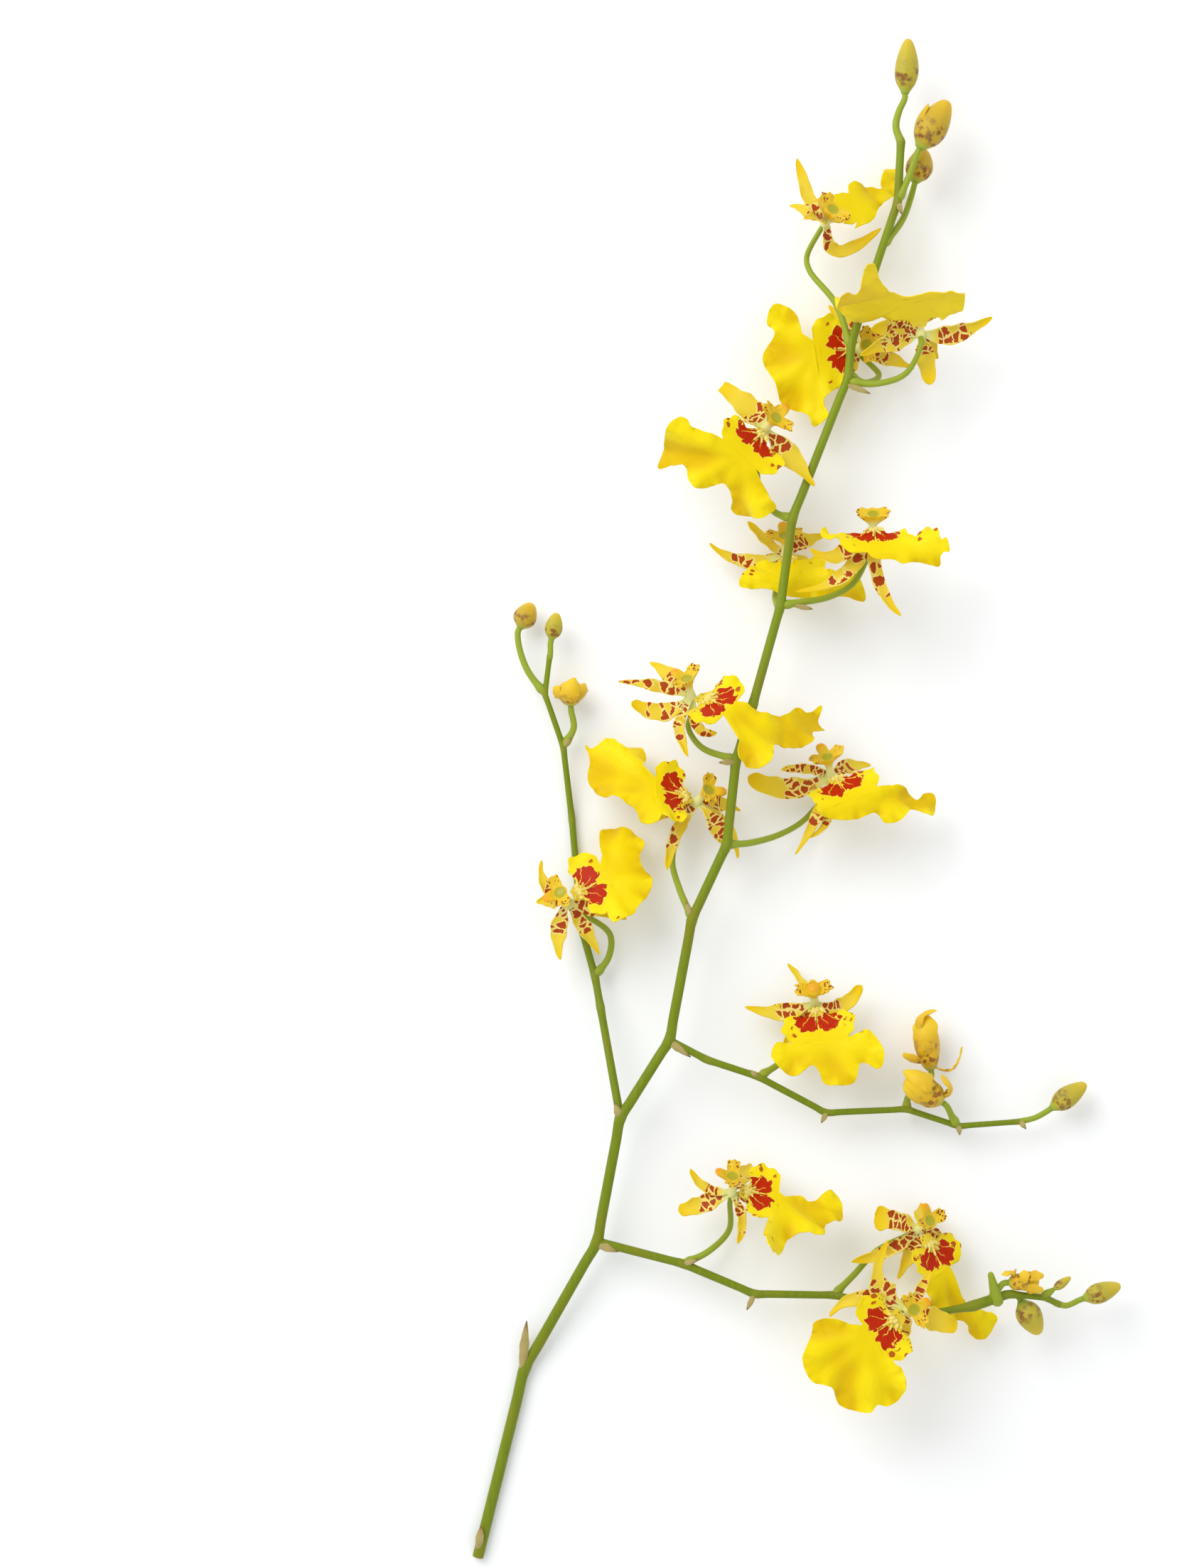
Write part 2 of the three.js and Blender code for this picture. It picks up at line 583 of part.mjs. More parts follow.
// A three.js geometry as a solid.
function solidOf(geometry) {
  const bare = geometry.index ? geometry.toNonIndexed() : geometry.clone();
  bare.deleteAttribute("normal");
  bare.deleteAttribute("uv");
  const merged = mergeVertices(bare, 1e-4);
  const surface = new wasm.Mesh({
    numProp: 3,
    vertProperties: merged.attributes.position.array,
    triVerts: new Uint32Array(merged.index.array),
  });
  return new wasm.Manifold(surface);
}

// A solid as a three.js geometry.
function geometryOf(solid) {
  const surface = solid.getMesh();
  const geometry = new THREE.BufferGeometry();
  geometry.setAttribute("position", new THREE.BufferAttribute(surface.vertProperties, 3));
  geometry.setIndex(new THREE.BufferAttribute(surface.triVerts, 1));
  geometry.computeVertexNormals();
  return geometry;
}

// Points and triangles as a geometry.
function geometryFrom(points, triangles) {
  const geometry = new THREE.BufferGeometry().setFromPoints(points);
  geometry.setIndex(triangles.flat());
  return geometry;
}

// A thin closed blade round a sheet of points, with walls at the sheet's free edges. A point is thickened along
// its own way where ways are given, and else along the sheet's normal there.
function blade(points, triangles, thickness, ways) {
  const sheet = geometryFrom(points, triangles);
  sheet.computeVertexNormals();
  const normals = sheet.attributes.normal;
  const side = (sign) => points.map((point, i) => {
    const normal = vector().fromBufferAttribute(normals, i);
    const way = ways ? ways[i] : normal;
    const stretch = 1 / Math.max(way.dot(normal), STEEPEST);
    return point.clone().addScaledVector(way, (sign * thickness * stretch) / 2);
  });
  const count = points.length;
  const faces = [];
  const edges = new Set(triangles.flatMap(([a, b, c]) => [`${a} ${b}`, `${b} ${c}`, `${c} ${a}`]));
  triangles.forEach((corners) => {
    const [a, b, c] = corners;
    faces.push([a, b, c], [count + a, count + c, count + b]);
    corners.forEach((from, k) => {
      const to = corners[(k + 1) % 3];
      if (!edges.has(`${to} ${from}`)) faces.push([to, from, count + from], [to, count + from, count + to]);
    });
  });
  return solidOf(geometryFrom([...side(1), ...side(-1)], faces));
}

// A closed tube along a list of points, with a half width and a half depth at each of them. A flat side is
// turned down where it lies level.
function tube(points, radii, sides, depths = radii, top = vector(0, 0, 1)) {
  const rings = [];
  let up = top;
  points.forEach((point, i) => {
    const before = points[Math.max(i - 1, 0)];
    const after = points[Math.min(i + 1, points.length - 1)];
    const along = after.clone().sub(before).normalize();
    up = up.clone().addScaledVector(along, -up.dot(along)).normalize();
    const across = along.clone().cross(up);
    for (let k = 0; k < sides; k += 1) {
      const angle = (2 * Math.PI * (k + 0.5)) / sides - Math.PI / 2;
      rings.push(point.clone()
        .addScaledVector(across, -radii[i] * Math.cos(angle))
        .addScaledVector(up, depths[i] * Math.sin(angle)));
    }
  });
  const faces = [];
  for (let i = 0; i + 1 < points.length; i += 1) {
    for (let k = 0; k < sides; k += 1) {
      const a = i * sides + k;
      const b = i * sides + ((k + 1) % sides);
      faces.push([a, b, a + sides], [b, b + sides, a + sides]);
    }
  }
  const last = (points.length - 1) * sides;
  for (let k = 1; k + 1 < sides; k += 1) {
    faces.push([0, k + 1, k]);
    faces.push([last, last + k, last + k + 1]);
  }
  return solidOf(geometryFrom(rings, faces));
}

function cleaned(solid, tolerance = JOIN_TOLERANCE) {
  const bodies = solid.simplify(tolerance).decompose();
  return wasm.Manifold.compose(bodies.filter((body) => body.volume() > SPECK));
}

const join = (solids) => cleaned(solids.reduce((sum, next) => sum.add(next)));

// ---------------------------------------------------------------- a lip
function bloomFrame(bloom) {
  const face = unit(bloom.column);
  const plate = unit(bloom.lip);
  plate.addScaledVector(face, -plate.dot(face)).normalize();
  const turn = THREE.MathUtils.degToRad(bloom.bend);
  const across = plate.clone().cross(face);
  const lobe = plate.clone().multiplyScalar(Math.cos(turn)).addScaledVector(face, -Math.sin(turn));
  const lobeFace = face.clone().multiplyScalar(Math.cos(turn)).addScaledVector(plate, Math.sin(turn));
  const isthmus = plate.clone().multiplyScalar(PLATE_LENGTH).addScaledVector(face, PLATE_RISE);
  return { face, plate, across, lobe, lobeFace, isthmus };
}

// Height of the waved lip over its flat pattern, at a place in that pattern.
function lipHeight(u, v, wave, phase) {
  const reach = Math.hypot(u, v);
  const angle = Math.atan2(u, v);
  const onLobe = THREE.MathUtils.smoothstep(v, -LOBE_EASE, LOBE_EASE);
  const mainWave = Math.sin(WAVE_COUNTS[0] * angle + phase);
  const fineWave = FINE_WAVE * Math.sin(WAVE_COUNTS[1] * angle + 2.3 * phase);
  const ripple = WAVE_SHARE * wave * (mainWave + fineWave) * Math.min(reach / WAVE_REACH, 1.2) ** 2;
  const groove = GROOVE_DEPTH * Math.exp(-((u / GROOVE_WIDTH) ** 2)) * Math.min(reach / GROOVE_EASE, 1);
  const [crestWidth, crestLength] = CREST_SIZE;
  const crest = CREST_HEIGHT * Math.exp(-((u / crestWidth) ** 2) - ((v - CREST_PLACE) / crestLength) ** 2);
  const lobeHeight = ripple - groove - REFLEX * reach * reach;
  const baseHeight = BASE_CUP * u * u + crest;
  return onLobe * lobeHeight + (1 - onLobe) * baseHeight;
}

// A place in the lip's flat pattern, and a height over it, as a point measured from the bloom's centre.
function lipPoint(frame, u, v, height) {
  const share = THREE.MathUtils.clamp((v + BEND_REACH) / (2 * BEND_REACH), 0, 1);
  const point = frame.isthmus.clone().addScaledVector(frame.across, u);
  if (v < -BEND_REACH) point.addScaledVector(frame.plate, v);
  else if (v > BEND_REACH) point.addScaledVector(frame.lobe, v);
  else {
    point.addScaledVector(frame.plate, -BEND_REACH * (1 - share) ** 2);
    point.addScaledVector(frame.lobe, BEND_REACH * share ** 2);
  }
  const normal = frame.face.clone().lerp(frame.lobeFace, share).normalize();
  return point.addScaledVector(normal, height);
}

// The flat pattern place of a skirt point given as seen from above.
function skirtPlace(frame, bloom, phase, [x, y]) {
  const dx = x - bloom.centre[0] - frame.isthmus.x;
  const dy = y - bloom.centre[1] - frame.isthmus.y;
  const { across, lobe, lobeFace } = frame;
  const det = across.x * lobe.y - across.y * lobe.x;
  let u = 0;
  let v = 0;
  for (let pass = 0; pass < 4; pass += 1) {
    const height = pass ? lipHeight(u, v, bloom.wave, phase) : 0;
    const px = dx - height * lobeFace.x;
    const py = dy - height * lobeFace.y;
    u = (px * lobe.y - py * lobe.x) / det;
    v = (across.x * py - across.y * px) / det;
  }
  return [u, v];
}

// A flat sheet in rows, waved, that reaches past an outline on all sides.
function wavedSheet(outline, wave, phase) {
  const span = (values) => {
    const first = Math.floor(Math.min(...values) / LIP_GRID) - 1;
    const last = Math.ceil(Math.max(...values) / LIP_GRID) + 1;
    return Array.from({ length: last - first + 1 }, (_, i) => (first + i) * LIP_GRID);
  };
  const columns = span(outline.map(([u]) => u));
  const rows = span(outline.map(([, v]) => v));
  const points = rows.flatMap((v) => columns.map((u) => vector(u, v, lipHeight(u, v, wave, phase))));
  const triangles = [];
  for (let j = 0; j + 1 < rows.length; j += 1) {
    for (let i = 0; i + 1 < columns.length; i += 1) {
      const a = j * columns.length + i;
      const b = a + columns.length;
      triangles.push([a, a + 1, b + 1], [a, b + 1, b]);
    }
  }
  return blade(points, triangles, BLADE, points.map(() => vector(0, 0, 1)));
}

// A solid that stands over and under an outline.
function cutter(outline) {
  const shape = new THREE.Shape(outline.map(([u, v]) => new THREE.Vector2(u, v)));
  const block = new THREE.ExtrudeGeometry(shape, { depth: 2 * CUTTER_REACH, bevelEnabled: false });
  return solidOf(block.translate(0, 0, -CUTTER_REACH));
}

// A lip is cut out of a waved sheet along the outlines of its base and its middle lobe, and then bent.
function lipSolid(bloom, phase) {
  const frame = bloomFrame(bloom);
  const skirt = bloom.skirt.map((place) => skirtPlace(frame, bloom, phase, place));
  if (skirt[0][0] < 0) skirt.reverse();
  const leftLobe = SIDE_LOBE.map(([u, v]) => [-u, v]).reverse();
  const base = [...SIDE_LOBE, ...leftLobe];
  const lobe = [...skirt, ...WAIST];
  const sheet = wavedSheet([...base, ...lobe], bloom.wave, phase);
  const flat = cleaned(sheet.intersect(cutter(base).add(cutter(lobe))), LIP_TOLERANCE);
  const geometry = geometryOf(flat);
  const place = geometry.attributes.position;
  for (let i = 0; i < place.count; i += 1) {
    place.setXYZ(i, ...lipPoint(frame, place.getX(i), place.getY(i), place.getZ(i)));
  }
  return solidOf(geometry);
}

// ---------------------------------------------------------------- sepals, petals and column
// A pointed blade along a line, facing one way, with a fold along its middle and a slight wave.
function petalSolid(line, facing, width, phase, stations = PETAL_STATIONS, profile = PETAL_PROFILE) {
  const points = [];
  stations.forEach((share, i) => {
    const along = line.getTangent(share);
    const face = facing.clone().addScaledVector(along, -facing.dot(along)).normalize();
    const across = along.clone().cross(face);
    const size = profile[i];
    const centre = line.getPoint(share);
    const wave = PETAL_WAVE * size * Math.sin(PETAL_WAVE_TURN * share + phase);
    points.push(centre.clone().addScaledVector(across, -0.5 * size * width).addScaledVector(face, wave));
    points.push(centre.clone().addScaledVector(face, -PETAL_CHANNEL * size));
    points.push(centre.clone().addScaledVector(across, 0.5 * size * width).addScaledVector(face, -wave));
  });
  const triangles = [];
  const last = stations.length - 1;
  for (let i = 0; i < last; i += 1) {
    for (const k of [0, 1]) {
      const a = 3 * i + k;
      triangles.push([a, a + 1, a + 4], [a, a + 4, a + 3]);
    }
  }
  return blade(points, triangles, BLADE);
}

// The curve from start past a middle place to a tip.
function bowed(start, middle, tip) {
  const pull = middle.clone().multiplyScalar(2).addScaledVector(start, -0.5).addScaledVector(tip, -0.5);
  return new THREE.QuadraticBezierCurve3(start, pull, tip);
}

function tepalSolid(frame, bloom, tepal, phase) {
  const onPlan = ([x, y], z) => vector(x - bloom.centre[0], y - bloom.centre[1], z);
  const flat = onPlan(tepal.tip, 0);
  const spare = Math.sqrt(Math.max(TEPAL_LENGTH ** 2 - flat.lengthSq(), 0));
  const tip = flat.clone().setZ(tepal.rise * spare + (tepal.lift ?? 0));
  const middle = tepal.via ? onPlan(tepal.via, tip.z / 2) : tip.clone().multiplyScalar(0.5);
  if (!tepal.via) middle.addScaledVector(frame.face, TEPAL_ARCH);
  const start = middle.clone().normalize().multiplyScalar(TEPAL_START);
  const line = bowed(start, middle, tip);
  const chord = tip.clone().normalize();
  const facing = Math.abs(chord.dot(frame.face)) > 0.9 ? frame.plate : frame.face;
  return petalSolid(line, facing, tepal.width ?? TEPAL_WIDTH, phase);
}

function columnSolid(frame) {
  const back = frame.plate.clone().negate();
  const points = COLUMN.map(([height, , , lean]) => (
    frame.face.clone().multiplyScalar(height).addScaledVector(back, lean)
  ));
  const widths = COLUMN.map((ring) => ring[1]);
  const depths = COLUMN.map((ring) => ring[2]);
  return tube(points, widths, COLUMN_SIDES, depths, back);
}

function sepalSolid(bloom, phase) {
  const frame = bloomFrame(bloom);
  const blades = bloom.tepals.map((tepal, i) => tepalSolid(frame, bloom, tepal, phase + TEPAL_TURN * i));
  return join([columnSolid(frame), ...blades]);
}

// ---------------------------------------------------------------- the spray
const spray = new THREE.Group();
spray.position.set(-MIDDLE[0], -MIDDLE[1], 0);

function addPart(name, solid, material, [x, y, z] = [0, 0, 0]) {
  const mesh = new THREE.Mesh(geometryOf(solid), material);
  mesh.name = name;
  mesh.position.set(x, y, z);
  spray.add(mesh);
}

const lowest = (solid) => solid.boundingBox().min[2];

// A curve that runs nearly straight between its nodes and turns at them.
function jointedCurve(nodes) {
  const places = [];
  nodes.forEach((node, i) => {
    const here = vector(...node);
    if (i > 0) places.push(here.clone().lerp(vector(...nodes[i - 1]), NODE_REACH));
    places.push(here);
    if (i + 1 < nodes.length) places.push(here.clone().lerp(vector(...nodes[i + 1]), NODE_REACH));
  });
  return new THREE.CatmullRomCurve3(places, false, "centripetal");
}

function axisSolid({ route, radius, sides }) {
  const points = jointedCurve(route).getPoints(AXIS_STEPS * (route.length - 1));
  const radii = points.map((_, i) => mix(radius[0], radius[1], i / (points.length - 1)));
  return tube(points, radii, sides);
}

// A pedicel from the stem to just short of a foot, which it meets along a direction.
function stalkSolid(stalk, foot, direction) {
  const end = foot.clone().addScaledVector(direction, -GAP);
  const near = end.clone().addScaledVector(direction, -STALK_STRAIGHT);
  const places = [...stalk.map((place) => vector(...place)), near, end];
  const curve = new THREE.CatmullRomCurve3(places, false, "centripetal");
  const points = curve.getPoints(STALK_STEPS);
  const radii = points.map((_, i) => mix(STALK_RADIUS[0], STALK_RADIUS[1], i / STALK_STEPS));
  return tube(points, radii, STALK_SIDES);
}

function bractSolid({ foot, tip, width }) {
  const start = vector(...foot);
  const end = vector(...tip);
  const middle = start.clone().lerp(end, 0.5).add(vector(0, 0, BRACT_ARCH));
  return petalSolid(bowed(start, middle, end), vector(0, 0, 1), width, 0, BRACT_STATIONS, BRACT_PROFILE);
}

function budSolid(bud) {
  const foot = vector(...bud.from);
  const head = vector(...bud.to);
  const centres = BUD_STATIONS.map((share) => foot.clone().lerp(head, share));
  const core = tube(centres, BUD_PROFILE.map((size) => (size * bud.width) / 2), BUD_SIDES);
  const start = foot.clone().lerp(head, BUD_STATIONS[1]);
  const petals = (bud.petals ?? []).map(({ via, tip, width }, i) => {
    const middle = vector(...via);
    const outward = middle.clone().sub(foot.clone().lerp(head, 0.5)).normalize();
    return petalSolid(bowed(start, middle, vector(...tip)), outward, width, i, CURL_STATIONS, CURL_PROFILE);
  });
  return join([core, ...petals]);
}

const stemSolids = [...AXES.map(axisSolid), ...BRACTS.map(bractSolid)];

BLOOMS.forEach((bloom, i) => {
  const phase = 1 + BLOOM_TURN * i;
  const frame = bloomFrame(bloom);
  const lip = lipSolid(bloom, phase);
  const sepals = sepalSolid(bloom, phase);
  const height = bloom.low - Math.min(lowest(lip), lowest(sepals));
  const place = [...bloom.centre, height];
  addPart(`bloom_${bloom.name}_lip`, lip, LIP_YELLOW, place);
  addPart(`bloom_${bloom.name}_sepals`, sepals, SEPAL_YELLOW, place);
  const foot = vector(...place).addScaledVector(frame.face, -HEART_RADIUS);
  stemSolids.push(stalkSolid(bloom.stalk, foot, frame.face));
});

BUDS.forEach((bud) => {
  const foot = vector(...bud.from);
  const direction = vector(...bud.to).sub(foot).normalize();
  addPart(bud.name, budSolid(bud), bud.material);
  stemSolids.push(stalkSolid(bud.stalk, foot, direction));
});

addPart("flower_stem", join(stemSolids), STEM_GREEN);

export default spray;
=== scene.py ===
# %% [markdown]
# # A cut spray of an oncidium orchid
# A branching green stem lies on a pale table. It carries fourteen open yellow blooms, four that are just
# opening and nine closed buds. Every bloom has the same parts: a wide ruffled lip with a red blotch and a
# warty crest, five narrow sepals and petals barred with red-brown, and a short column with two toothed
# wings. The fixed frame comes first. It gives the place and the size of each part, and each part is then
# modelled finely and stands in its frame node's place.

# %% The frame and its box
import functools
import math
import bpy
import numpy as np
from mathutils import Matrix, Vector, kdtree
from mathutils.geometry import delaunay_2d_cdt


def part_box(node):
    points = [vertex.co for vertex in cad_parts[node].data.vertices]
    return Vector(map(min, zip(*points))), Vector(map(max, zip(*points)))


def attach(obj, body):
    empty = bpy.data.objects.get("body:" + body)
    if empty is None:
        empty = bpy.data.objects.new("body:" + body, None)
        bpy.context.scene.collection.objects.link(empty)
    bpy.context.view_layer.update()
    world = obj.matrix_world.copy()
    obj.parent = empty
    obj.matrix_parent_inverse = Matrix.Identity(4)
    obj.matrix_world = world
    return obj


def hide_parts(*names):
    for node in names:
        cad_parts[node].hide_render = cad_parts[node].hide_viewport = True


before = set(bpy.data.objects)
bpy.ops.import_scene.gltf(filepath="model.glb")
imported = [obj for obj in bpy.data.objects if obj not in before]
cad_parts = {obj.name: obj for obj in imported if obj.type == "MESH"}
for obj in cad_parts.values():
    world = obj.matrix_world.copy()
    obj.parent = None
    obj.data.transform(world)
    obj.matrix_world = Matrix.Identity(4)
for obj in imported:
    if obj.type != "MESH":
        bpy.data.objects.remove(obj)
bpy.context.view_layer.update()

MM = 0.001
MIDDLE = np.array([90.3, 215.2, 0.0])  # mm, from the cut end of the stem to the origin
